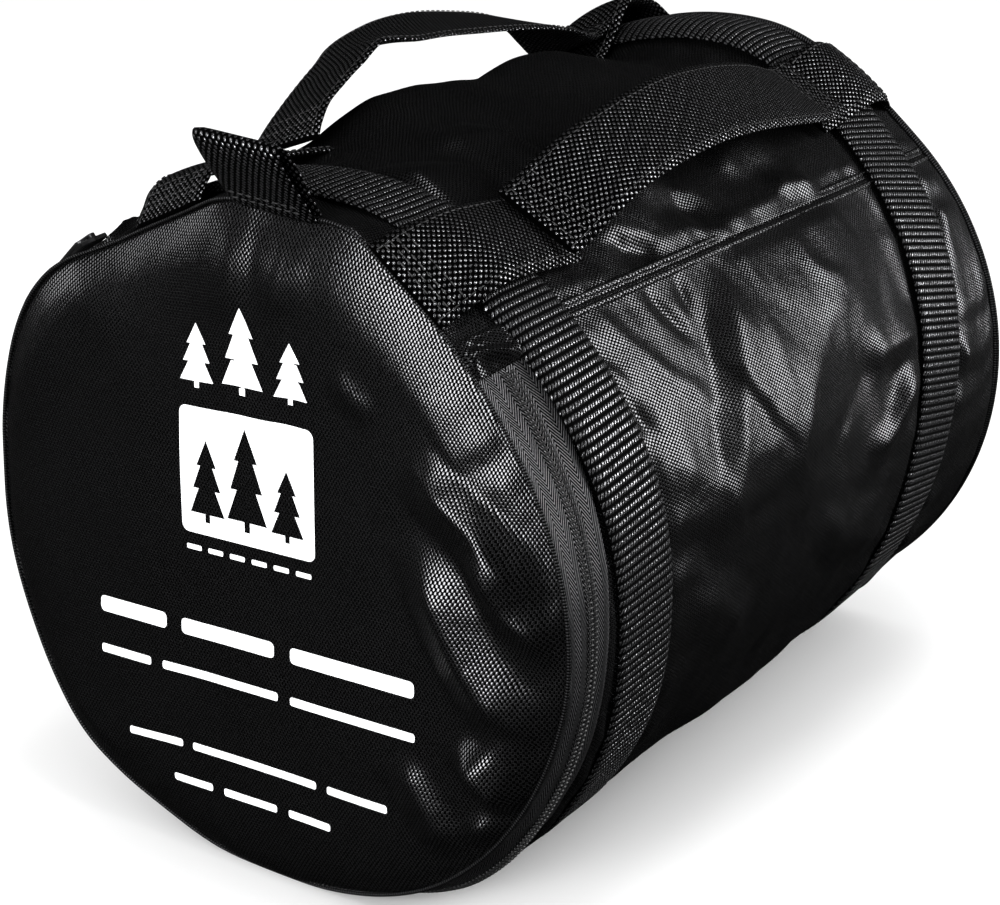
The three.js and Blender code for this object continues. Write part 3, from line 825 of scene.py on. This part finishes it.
def strap(node, clock, stations, radii, stitched):
    """A strap sewn to the body, with stitches across it at the stations stitched and along its edges."""
    count = 60
    line = smooth_line(np.stack([stations, radii], 1), count)
    centre = around(clock, line[:, 0], line[:, 1])
    side, up = line_frames(centre, around(clock + 90.0, 0, 1), outwards_at(centre))
    name = node + "_web"
    web = webbing(name, centre, side, up, HANDLE_WIDTH, STRAP_THICKNESS, HANDLE_WEB, curl=CURL)
    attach(web, "case")
    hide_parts(node)
    nearest = [np.argmin(np.abs(centre[:, 1] - station)) for station in stitched]
    rows = [row_across(centre, side, up, k, STRAP_THICKNESS, CURL) for k in nearest]
    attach(stitch_rows(name + "_stitches", rows + rows_along(centre, side, up, CURL)), "case")


for whose, sign, radii in (
    ("near", 1, [106.6, 108.4, 110.8, OVER_BAND + 3, OVER_BAND + 1, 107.8]),
    ("far", -1, [106.8, 111.4, 114.4, OVER_BAND + 2.2, OVER_BAND + 0.2, 107.4]),
):
    strap(whose + "_strap_front", ROLL + sign * HANDLE_ANGLE, [-0.6, 5, 13, 28, 47, 66], radii,
          [2.5, 5, 7.5, 10])
for whose, sign, arch in (("near", 1, 3.5), ("far", -1, 4)):
    strap(whose + "_strap_rear", sign * HANDLE_ANGLE, [229, 241, 258, 272, 280.2],
          [108.2, 109.8, OVER_BAND + arch, OVER_BAND + arch / 2, 106.3], [268, 271, 274, 277])


def handle(node, side_sign, lean, profile):
    """A carrying handle that stands straight out at its ends and turns to its lean over about a sixth of its
    length at each end.

    profile is (station, height above the line it bends about, degrees of twist to the right).
    """
    count = 120
    low = around(ROLL + side_sign * HANDLE_ANGLE, HANDLE_FRONT, PIVOT_RADIUS)
    high = around(side_sign * HANDLE_ANGLE, HANDLE_REAR, PIVOT_RADIUS)
    line = smooth_line(profile, count)
    share = (line[:, 0] - HANDLE_FRONT) / (HANDLE_REAR - HANDLE_FRONT)
    rise = around(lean, 0, 1)
    base = low + (high - low) * share[:, None]
    base[:, 1] = line[:, 0]
    ends = np.clip(1 - np.minimum(share + 0.01, 1.01 - share) / 0.16, 0, 1)[:, None]
    direction = unit(around(clock_of(base), 0, 1) * ends + rise * (1 - ends))
    centre = base + direction * line[:, 1:2]
    side, up = line_frames(centre, np.cross([0.0, 1.0, 0.0], direction), direction)
    twist = arc(line[:, 2:3])
    side, up = side * np.cos(twist) - up * np.sin(twist), up * np.cos(twist) + side * np.sin(twist)
    web = webbing(node + "_web", centre, side, up, HANDLE_WIDTH, STRAP_THICKNESS, HANDLE_WEB)
    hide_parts(node)
    rows = rows_along(centre, side, up)
    for k in (2, 5, 8, count - 9, count - 6, count - 3):
        rows.append(row_across(centre, side, up, k, STRAP_THICKNESS))
    sewn = stitch_rows(node + "_web_stitches", rows, radius=0.18)
    for obj in (web, sewn):
        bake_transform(obj)


handle("near_handle", 1, 27, [
    (57, 2.6, 0), (62, 4.4, 0), (73, 12.2, -2), (85, 17.4, -2), (101, 20.8, 0), (117, 22.6, 3),
    (135, 22.8, 6), (160, 20.0, 8), (185, 15.4, 8), (205, 10.8, 6), (220, 6.8, 3), (231, 3.6, 0),
    (241, 2.8, 0)])
handle("far_handle", -1, -12, [
    (57, 2.6, 0), (61, 5.4, -4), (68, 10.4, -8), (76, 14.6, -9), (88, 20.6, -10), (99, 25.2, -9),
    (108, 26.8, 0), (120, 27.4, 9), (136, 28.0, 15), (154, 27.2, 18), (172, 25.4, 17), (196, 22.0, 14),
    (216, 16.5, 8), (229, 8.0, 3), (235, 4.2, 0), (243, 2.9, 0)])

# ---------------------------------------------------------------- front round cloth
DISC_CELLS = 100
DISC_RADIUS = 105.4
RIM_ROUND = 18.0
DISC_BULGE = 5.8


def round_grid(cells, size):
    """A square grid drawn into a round: x, height, distance from the middle and clock angle."""
    a = np.linspace(-1, 1, cells + 1)
    high, wide = np.meshgrid(a, a, indexing="ij")
    x = wide * np.sqrt(1 - high**2 / 2) * size
    z = high * np.sqrt(1 - wide**2 / 2) * size
    return x, z, np.hypot(x, z), np.degrees(np.arctan2(x, z))


# Folds of the front cloth: places as (x, height above the axis), then the widths of the upper right and
# lower left sides, and the height.
DISC_FOLDS = [
    ([(55, 48), (62, 43), (73, 35), (83, 28), (93, 18), (101, 6)], 9, 13, 5.4),
    ([(76, 28), (83, 20), (90, 9), (99, 1), (104, -10)], 9, 8, 5.0),
    ([(59, 26), (63, 14), (70, 0), (78, -13), (88, -23), (103, -32)], 12, 12, 6.4),
    ([(72, -33), (80, -42), (90, -51), (103, -57)], 17, 7, 9.4),
    ([(74, -58), (82, -66), (90, -76)], 10, 6, 4.6),
    ([(51, -45), (61, -58), (71, -73)], 7, 10, 3.2),
    ([(30, 66), (36, 60), (46, 56)], 5, 6, 1.4),
    ([(14, 100), (10, 88), (12, 76)], 12, 8, 1.9),
    ([(-10, 98), (-6, 84), (-14, 74)], 9, 9, 1.5),
    ([(-96, 20), (-84, 44), (-64, 66), (-38, 82)], 14, 16, 1.6),
    ([(-88, -40), (-74, -62), (-50, -82)], 11, 12, 1.4),
]


def disc_cloth():
    """The flap's cloth: a little slack near its seam, and let settle in front of the drum."""
    x, z, radius, clock = round_grid(DISC_CELLS, DISC_RADIUS)
    inside = np.clip((DISC_RADIUS - radius) / 7, 0, 1)
    lift = 0.22 * facets(x, z, 8, 60, 22, 13) * (0.35 + 0.65 * bump(radius, SEAM_RADIUS, 60))
    for fold in DISC_FOLDS:
        lift = lift + ridge(x, z, *fold)
    rim_gap = np.maximum(SEAM_RADIUS - radius, 0)
    rising = 0.35 + 0.65 * bump(clock, 70, 80)
    lift = lift + 1.6 * puckers(rim_gap, arc(clock) * SEAM_RADIUS, 8, 19, 12) * rising
    collapsed = bump(clock, 45, 110)
    from_rim = np.clip((DISC_RADIUS - radius) / RIM_ROUND, 0, 1)
    rounded = collapsed * (1 - (1 - from_rim) ** 1.3)
    dome = DISC_BULGE * ((1 - collapsed) * (1 - (radius / DISC_RADIUS) ** 11) + rounded)
    start = np.stack([x, 0.6 - dome - lift * inside, z], -1)
    free = np.zeros(x.shape, bool)
    free[1:-1, 1:-1] = True
    return settle_cloth(start, False, free, 0.02, 1.001, lambda now: now), np.stack([x, z], -1)


disc, disc_flat = disc_cloth()
disc_normal = grid_normals(disc)
disc_normal *= np.sign(-disc_normal[..., 1:2])
HINGE_POINT = around(ROLL, HINGE_STATION, HINGE_OFFSET)
DOWN_PANEL = -around(ROLL, 0, 1)
front = slab("front_cloth", disc, disc - disc_normal * ROUND_THICKNESS, disc_flat, CLOTH, finer=True)
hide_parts("front_panel", "front_panel_top")
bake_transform(front)


def disc_station(x, z):
    """Stations of the front cloth at places on it."""
    faces = grid_faces(*disc.shape[:2]).tolist()
    tree = BVHTree.FromPolygons([Vector(p) for p in disc.reshape(-1, 3)], faces)
    return np.array([tree.ray_cast(Vector((px, -60, pz)), Vector((0, 1, 0)))[0].y for px, pz in zip(x, z)])


def filled_shape(loops, thickness=0.0, bevel=0.0):
    """A flat shape with holes, from loops of points. With a thickness it is a plate with rounded edges."""
    curve = bpy.data.curves.new("outline", "CURVE")
    curve.dimensions = "2D"
    curve.fill_mode = "BOTH"
    curve.extrude = thickness / 2 - bevel
    curve.bevel_depth = bevel
    curve.bevel_resolution = 2
    for loop in loops:
        spline = curve.splines.new("POLY")
        spline.points.add(len(loop) - 1)
        spline.points.foreach_set("co", [v for px, py in loop for v in (px, py, 0, 1)])
        spline.use_cyclic_u = True
    obj = bpy.data.objects.new("outline", curve)
    mesh = bpy.data.meshes.new_from_object(obj)
    bpy.data.objects.remove(obj)
    shape = bmesh.new()
    shape.from_mesh(mesh)
    bpy.data.meshes.remove(mesh)
    return shape


PRINT_CELL = 2.0
PRINT_TILT = math.tan(math.radians(2.0))
INK_RISE = 0.25


def print_shape(loops):
    """A flat shape of ink, cut fine enough to lie on the folded cloth. Loops are (x, height) points."""
    shape = filled_shape(loops)
    bmesh.ops.triangulate(shape, faces=shape.faces)
    for axis, normal in enumerate((Vector((1, 0, 0)), Vector((0, 1, 0)))):
        places = [v.co[axis] for v in shape.verts]
        for k in np.arange(math.floor(min(places) / PRINT_CELL) * PRINT_CELL, max(places), PRINT_CELL):
            everything = shape.verts[:] + shape.edges[:] + shape.faces[:]
            bmesh.ops.bisect_plane(shape, geom=everything, plane_co=normal * k, plane_no=normal)
    return shape


def rounded_bar(left, right, low, high, corner):
    """A bar with rounded ends, as (x, height) points."""
    corner = min(corner, (right - left) / 2, (high - low) / 2)
    points = []
    for cx, cz, first in ((right - corner, high - corner, 0), (left + corner, high - corner, 90),
                          (left + corner, low + corner, 180), (right - corner, low + corner, 270)):
        for step in range(5):
            angle = math.radians(first + step * 22.5)
            points.append((cx + corner * math.cos(angle), cz + corner * math.sin(angle)))
    return points


def fir_tree(middle, foot, height, width):
    """The outline of a plain fir tree in three tiers."""
    half = [(0.07, 0.0), (0.07, 0.1), (0.5, 0.1), (0.24, 0.4), (0.4, 0.4), (0.18, 0.68), (0.29, 0.68),
            (0.0, 1.0)]
    right = [(middle + a * width, foot + b * height) for a, b in half]
    left = [(middle - a * width, foot + b * height) for a, b in reversed(half[:-1])]
    return right + left


def bar_row(left, right, low, high, widths, gap):
    """A row of blank bars in place of a line of words."""
    scale = (right - left - gap * (len(widths) - 1)) / sum(widths)
    bars = []
    for width in widths:
        bars.append(rounded_bar(left, left + width * scale, low, high, (high - low) * 0.3))
        left += width * scale + gap
    return bars


# The height of the trees' feet, then each tree: middle, height and width.
FREE_FOOT = 50.5
BLANK_FOOT = 8.5
FREE_TREES = [(-19.5, 20, 13), (-2, 26, 15), (15.5, 18, 12)]
BLANK_TREES = [(-16.5, 26, 13), (-1.5, 32, 15), (13.5, 22, 12)]
# The panel behind the blank trees: left, right, low, high and its corners' radius.
TREE_PANEL = (-26.5, 23.5, 4.5, 44.5, 2.5)
# Rows of bars: left, right, low, high, the bars' shares of the row and the gap between them.
BAR_ROWS = [
    (-25, 22, -1.0, 0.6, [1] * 6, 2.6),
    (-61, 58, -29.4, -24.2, [3, 4, 5], 6.0),
    (-61, 58, -43.0, -40.2, [4, 9, 9], 4.6),
    (-51, 47.5, -68.2, -65.6, [4, 9, 4], 4.0),
    (-34, 27, -80.8, -78.2, [3, 4, 3], 4.6),
]


def front_print():
    """A plain white print: fir trees over a panel with trees left blank in it, and rows of blank bars."""
    shapes = [[fir_tree(middle, FREE_FOOT, height, width)] for middle, height, width in FREE_TREES]
    trees = [fir_tree(middle, BLANK_FOOT, height, width) for middle, height, width in BLANK_TREES]
    shapes.append([rounded_bar(*TREE_PANEL), *trees])
    for row in BAR_ROWS:
        shapes.extend([bar] for bar in bar_row(*row))
    everything = bmesh.new()
    scratch = bpy.data.meshes.new("scratch")
    for loops in shapes:
        shape = print_shape(loops)
        shape.to_mesh(scratch)
        everything.from_mesh(scratch)
        shape.free()
    bpy.data.meshes.remove(scratch)
    bmesh.ops.triangulate(everything, faces=everything.faces)
    everything.verts.index_update()
    x = np.array([v.co.x for v in everything.verts])
    z = np.array([v.co.y for v in everything.verts]) + x * PRINT_TILT
    faces = [[v.index for v in f.verts] for f in everything.faces]
    everything.free()
    points = np.stack([x, disc_station(x, z) - INK_RISE, z], -1)
    return make_object("front_print", points, faces, np.stack([x, z], -1), INK)


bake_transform(front_print())

# ---------------------------------------------------------------- seam bindings, zip and hinge strip
def round_strip(name, clock, stations, radius, wobble, material, body_name, node):
    """Cloth that goes round the case at a radius, give or take a wobble. Its stations run front to back."""
    clock, station = np.meshgrid(clock, stations, indexing="ij")
    radius = radius + wobble * waves(arc(clock) * CASE_RADIUS, station, 8, 40, 12, 21)
    outer = seat(around(clock, station, radius), 0.2)
    inner = seat(around(clock, station, radius - STRIP_THICKNESS), 0.2 + STRIP_THICKNESS)
    flat = np.stack([station, arc(clock) * CASE_RADIUS], -1)
    obj = slab(name, outer, inner, flat, material)
    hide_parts(node)
    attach(obj, body_name)


def piping(name, station, radius, half_width, half_height):
    """A rounded binding all the way round the case."""
    clock, turn = np.meshgrid(np.linspace(0, 360, 540, endpoint=False),
                              np.linspace(0, 2 * np.pi, 10, endpoint=False), indexing="ij")
    centred = around(clock, station + np.cos(turn) * half_width, radius + np.sin(turn) * half_height)
    points = seat(centred, 0.1)
    flat = np.stack([turn * half_width, arc(clock) * CASE_RADIUS], -1)
    faces = grid_faces(*clock.shape, 0, True, True)
    return make_object(name, points.reshape(-1, 3), faces, flat.reshape(-1, 2), BINDING)


front_piping = piping("front_seam_piping", -0.1, 105.7, 0.6, 0.6)
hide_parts("front_seam_binding", "front_binding_top")
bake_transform(front_piping)
rear_piping = piping("rear_seam_piping", CASE_LENGTH - 1.3, 105.6, 1.1, 1.3)
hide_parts("rear_seam_binding")
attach(rear_piping, "case")

RIM_FROM = ROLL + ZIP_HALF_ANGLE + 2.5
RIM_TO = ROLL - ZIP_HALF_ANGLE - 2.5 + 360
STRIP_REAR = ZIP_END + 0.6
rim_clock = np.linspace(RIM_FROM - 2.2, RIM_TO + 2.2, 420)
round_strip("flap_zip_tape", rim_clock, np.linspace(0.2, ZIP_FRONT, 9), TAPE_RADIUS, 0.12, TAPE,
            "flap", "zipper_tape_front")
round_strip("body_zip_tape", rim_clock, np.linspace(ZIP_REAR, STRIP_REAR, 7), TAPE_RADIUS, 0.12, TAPE,
            "case", "zipper_tape_rear")
strip_clock = np.linspace(ROLL - ZIP_HALF_ANGLE - 0.6, ROLL + ZIP_HALF_ANGLE + 0.6, 90)
round_strip("hinge_strip_cloth", strip_clock, np.linspace(0.2, STRIP_REAR, 12), 106.0, 0.35, CLOTH,
            "case", "hinge_strip")

TOOTH_PITCH = 1.55


def coil(name, middle, outwards, body_name, node):
    """One row of zip coil: a tooth for each turn of the coil, with its head towards the other row."""
    clock = np.arange(RIM_FROM, RIM_TO, math.degrees(TOOTH_PITCH / COIL_RADIUS))
    head = seat(around(clock, middle + outwards * 0.9, COIL_RADIUS - 0.1), 0.5)
    tail = seat(around(clock, middle - outwards * 1.0, COIL_RADIUS - 0.3), 0.5)
    obj = capsules(name, tail, head, around(clock, 0, 1), 0.5, COIL_PLASTIC)
    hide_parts(node)
    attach(obj, body_name)


coil("flap_zip_coil", ZIP_FRONT - 1.0, 1, "flap", "zipper_coil_front")
coil("body_zip_coil", ZIP_REAR + 1.0, -1, "case", "zipper_coil_rear")


def end_cover(name, side_sign, node):
    """A small folded cloth cover sewn over one end of the zip: a standing fold with a tucked hollow."""
    a, b = np.meshgrid(np.linspace(0, 1, 22), np.linspace(0, 1, 30), indexing="ij")
    clock = ROLL + side_sign * (ZIP_HALF_ANGLE - 6.0 + 7.4 * a + 1.2 * b * (1 - a))
    station = -0.4 + 20.0 * b
    fold = np.exp(-(((a - 0.62 + 0.12 * np.sin(b * 6)) / 0.16) ** 2)) * np.sin(np.pi * b) ** 0.35
    tuck = np.exp(-(((a - 0.3) / 0.12) ** 2)) * bump(b, 0.3, 0.3)
    lift = 1.0 + 2.3 * fold - 0.7 * tuck + 0.25 * facets(a * 14, b * 20, 5, 9, 5, 17)
    edge = np.clip(np.minimum(np.minimum(a, 1 - a) * 9, np.minimum(b, 1 - b) * 12), 0, 1)
    outer = around(clock, station, 106.3 + lift * edge)
    inner = around(clock, station, np.full_like(clock, 106.15))
    flat = np.stack([a * 14, b * 20], -1)
    obj = slab(name, outer, inner, flat, CLOTH, finer=True)
    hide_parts(node)
    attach(obj, "case")


end_cover("zip_cover_right", 1, "zip_end_cover_right")
end_cover("zip_cover_left", -1, "zip_end_cover_left")

# ---------------------------------------------------------------- lengthwise body seams
def body_seam(name, column):
    """The felled seam between two body panels: two raised edges with a groove between them."""
    base = smooth_line(body[:, column % BODY_COLUMNS], 240)
    outward = outwards_at(base)
    side = unit(np.cross(np.tile([0.0, 1.0, 0.0], (len(base), 1)), outward))
    across = np.array([-3.3, -2.6, -1.9, -1.2, -0.5, 0.0, 0.5, 1.1, 1.8, 2.5, 3.2])
    lift = np.array([-0.5, -0.1, -0.1, -0.6, -1.0, -1.2, -1.0, -0.2, 0.45, 0.1, -0.5])
    ripple = 1 + 0.35 * np.sin(base[:, 1:2] * 0.9) * np.sin(base[:, 1:2] * 0.23)
    spread = base[:, None] + side[:, None] * across[None, :, None]
    outer = spread + outward[:, None] * (lift * ripple)[..., None]
    inner = spread - outward[:, None] * 1.0
    flat = np.stack(np.broadcast_arrays(across[None] + 3.0, base[:, 1:2]), -1)
    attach(slab(name, outer, inner, flat, CLOTH), "case")
    rows = [(base + side * a + outward * h, outward) for a, h in ((-2.2, 0.0), (1.9, 0.45))]
    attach(stitch_rows(name + "_stitches", rows, pitch=2.8, radius=0.16), "case")


body_seam("body_seam_right", 0)
body_seam("body_seam_left", LEFT_COLUMN)

# ---------------------------------------------------------------- rear round cloth
REAR_CELLS = 60
REAR_RADIUS = 105.2


def rear_cloth():
    """The closed end: a shallow dome, crumpled, with short folds at its seam."""
    x, z, radius, clock = round_grid(REAR_CELLS, REAR_RADIUS)
    gap = np.maximum(REAR_RADIUS - radius, 0)
    dome = 1.1 * (1 - (radius / REAR_RADIUS) ** 6)
    dome = dome + 0.5 * facets(x, z, 8, 70, 24, 31) * np.clip(gap / 9, 0, 1)
    dome = dome + 1.2 * puckers(gap, arc(clock) * SEAM_RADIUS, 10, 19, 32) * np.clip(gap / 4, 0, 1)
    outer = np.stack([x, CASE_LENGTH - 1.4 + dome, z], -1)
    flat = np.stack([x, z], -1)
    obj = slab("rear_cloth", outer, outer - [0, ROUND_THICKNESS, 0], flat, CLOTH, finer=True)
    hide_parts("rear_panel")
    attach(obj, "case")


rear_cloth()

# ---------------------------------------------------------------- grab tab
# The middle of its foot as (x, station, height above the axis), its lean forwards in degrees and its
# slant to the left as mm for each mm of height.
TAB_PLACE = (8.2, -0.9, 106.3)
TAB_LEAN = 33
TAB_SLANT = 0.13
TAB_THICKNESS = 1.5
TAB_SIDE_VIEW = [(-1.3, -0.6), (-1.7, 7), (-2.1, 16), (-1.6, 22.6), (0.2, 24.8), (1.9, 22.4), (2.0, 16),
                 (1.4, 7), (1.1, -0.6)]


def grab_tab():
    """A strip of webbing folded over and sewn in at the top of the front seam, where the slack seam is."""
    lean = math.radians(TAB_LEAN)
    base = np.array(TAB_PLACE)
    outward = unit(np.array([0.05, 0.0, 1.0]))
    across = np.cross([0.0, 1.0, 0.0], outward)
    rise = outward * math.cos(lean) + np.array([0, -1, 0]) * math.sin(lean)
    forward = unit(np.cross(rise, across))
    line = smooth_line(TAB_SIDE_VIEW, 70)
    centre = base + forward * line[:, 0:1] + rise * line[:, 1:2]
    side, up = line_frames(centre, across, centre - (base + rise * 9))
    centre = centre - across * (TAB_SLANT * np.clip(line[:, 1:2], 0, None))
    web = webbing("grab_tab_web", centre, side, up, HANDLE_WIDTH, TAB_THICKNESS, HANDLE_WEB, slack=False)
    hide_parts("grab_tab")
    nearest = [np.argmin(np.abs(line[:35, 1] - height)) for height in (2.2, 4.8)]
    rows = [row_across(centre, side, up, k, TAB_THICKNESS) for k in nearest]
    sewn = stitch_rows("grab_tab_stitches", rows, slack=False)
    for obj in (web, sewn):
        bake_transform(obj)


grab_tab()

# ---------------------------------------------------------------- zip slider and pull
SLIDER_ANGLE = ROLL - ZIP_HALF_ANGLE - 8
SLIDER_RADIUS = 107.9


def plate(name, loops, thickness, bevel, height, node, body_name):
    """A flat metal piece with rounded edges, from loops of (round, along) points. height is over the zip."""
    shape = filled_shape(loops, thickness, bevel)
    bmesh.ops.remove_doubles(shape, verts=shape.verts, dist=0.001)
    bmesh.ops.triangulate(shape, faces=shape.faces)
    flat = np.array([v.co for v in shape.verts])
    faces = [[v.index for v in f.verts] for f in shape.faces]
    shape.free()
    clock = SLIDER_ANGLE + np.degrees(flat[:, 0] / SLIDER_RADIUS)
    station = (ZIP_FRONT + ZIP_REAR) / 2 + flat[:, 1]
    points = around(clock, station, SLIDER_RADIUS + height + flat[:, 2])
    made = make_object(name, points, faces, flat, ZIP_METAL, smooth=False)
    if node:
        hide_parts(node)
    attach(made, body_name)


def waisted(length, nose, waist, tail):
    """The outline of a slider's plate: wide at its nose, waisted, with a narrow tail."""
    half = length / 2
    side = [(-half, tail / 2), (-half * 0.3, waist / 2), (half * 0.35, nose / 2), (half * 0.8, nose / 2),
            (half, nose / 3)]
    return side + [(px, -py) for px, py in reversed(side)]


plate("slider_plate", [waisted(11.5, 7.8, 5.4, 4.6)], 1.5, 0.35, 0.75, "zipper_slider", "zip_slider")
plate("slider_bridge", [rounded_bar(-4.0, 4.0, -0.9, 0.9, 0.9)], 1.0, 0.3, 2.6, None, "zip_slider")
for place in (-3.2, 3.2):
    post = rounded_bar(place - 0.7, place + 0.7, -0.9, 0.9, 0.5)
    plate("slider_post", [post], 1.4, 0.2, 1.9, None, "zip_slider")
tag = [rounded_bar(-26, 1.2, -3.0, 3.0, 2.2), rounded_bar(-5.0, -0.4, -1.6, 1.6, 0.8),
       rounded_bar(-23.5, -19.5, -1.4, 1.4, 1.4)]
plate("pull_tag", tag, 1.0, 0.3, 2.05, "zipper_pull", "zip_pull")

# ---------------------------------------------------------------- CAD pieces that stay
kept = {"canister_shell": DRUM_PLASTIC, "canister_lid": LID_PLASTIC}
for part in ("spindle", "spacer", "cam", "nut"):
    for number in (1, 2):
        kept[f"latch_{number}_{part}"] = STEEL
for node, material in kept.items():
    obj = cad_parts[node]
    obj.data.materials.clear()
    obj.data.materials.append(material)

# ---------------------------------------------------------------- floor, light and camera
FLOOR = 12.0
floor_look = Look("pale_floor")
floor_look.finish(grey(0.86, 1.0), 0.9, specular=0.1)
floor_mesh = bpy.data.meshes.new("floor")
corners = [(-FLOOR, -FLOOR, 0), (FLOOR, -FLOOR, 0), (FLOOR, FLOOR, 0), (-FLOOR, FLOOR, 0)]
floor_mesh.from_pydata(corners, [], [(0, 1, 2, 3)])
floor_mesh.materials.append(floor_look.material)
floor = bpy.data.objects.new("floor", floor_mesh)
bpy.context.scene.collection.objects.link(floor)
floor.visible_glossy = False

world = bpy.data.worlds.new("studio")
bpy.context.scene.world = world
world.use_nodes = True
world.node_tree.nodes["Background"].inputs[0].default_value = (1, 1, 1, 1)
world.node_tree.nodes["Background"].inputs[1].default_value = 0.95
world.cycles_visibility.glossy = False


def softbox(name, direction, distance, size, power):
    light = bpy.data.lights.new(name, "AREA")
    light.shape = "RECTANGLE"
    light.size, light.size_y = size
    light.energy = power
    obj = bpy.data.objects.new(name, light)
    aim = Vector((0, 0, 0.1))
    obj.location = aim + Vector(direction).normalized() * distance
    obj.rotation_mode = "QUATERNION"
    obj.rotation_quaternion = (obj.location - aim).to_track_quat("Z", "Y")
    bpy.context.scene.collection.objects.link(obj)


softbox("right_box", (0.66, 0.70, 0.31), 1.5, (0.5, 1.1), 20)
softbox("front_box", (0.08, -0.945, 0.31), 1.6, (0.8, 0.65), 25)
softbox("top_box", (0.15, -0.06, 0.98), 1.6, (0.5, 0.5), 6)
softbox("left_box", (-0.92, -0.30, 0.25), 1.8, (0.8, 0.6), 6)

camera_data = bpy.data.cameras.new("camera")
camera = bpy.data.objects.new("camera", camera_data)
bpy.context.scene.collection.objects.link(camera)
CAMERA_PLACE = Vector((0.42146, -0.62943, 0.38265))
CAMERA_FORWARD = Vector((-0.52778, 0.77228, -0.35359))
CAMERA_ROLL = math.radians(0.67)
camera_data.sensor_width = 36
camera_data.lens = 86.8
camera_data.clip_start = 0.01
camera.location = CAMERA_PLACE
camera.rotation_mode = "QUATERNION"
camera.rotation_quaternion = CAMERA_FORWARD.to_track_quat("-Z", "Y") @ Matrix.Rotation(
    CAMERA_ROLL, 3, "Z").to_quaternion()
bpy.context.scene.camera = camera
bpy.context.scene.view_settings.view_transform = "Standard"
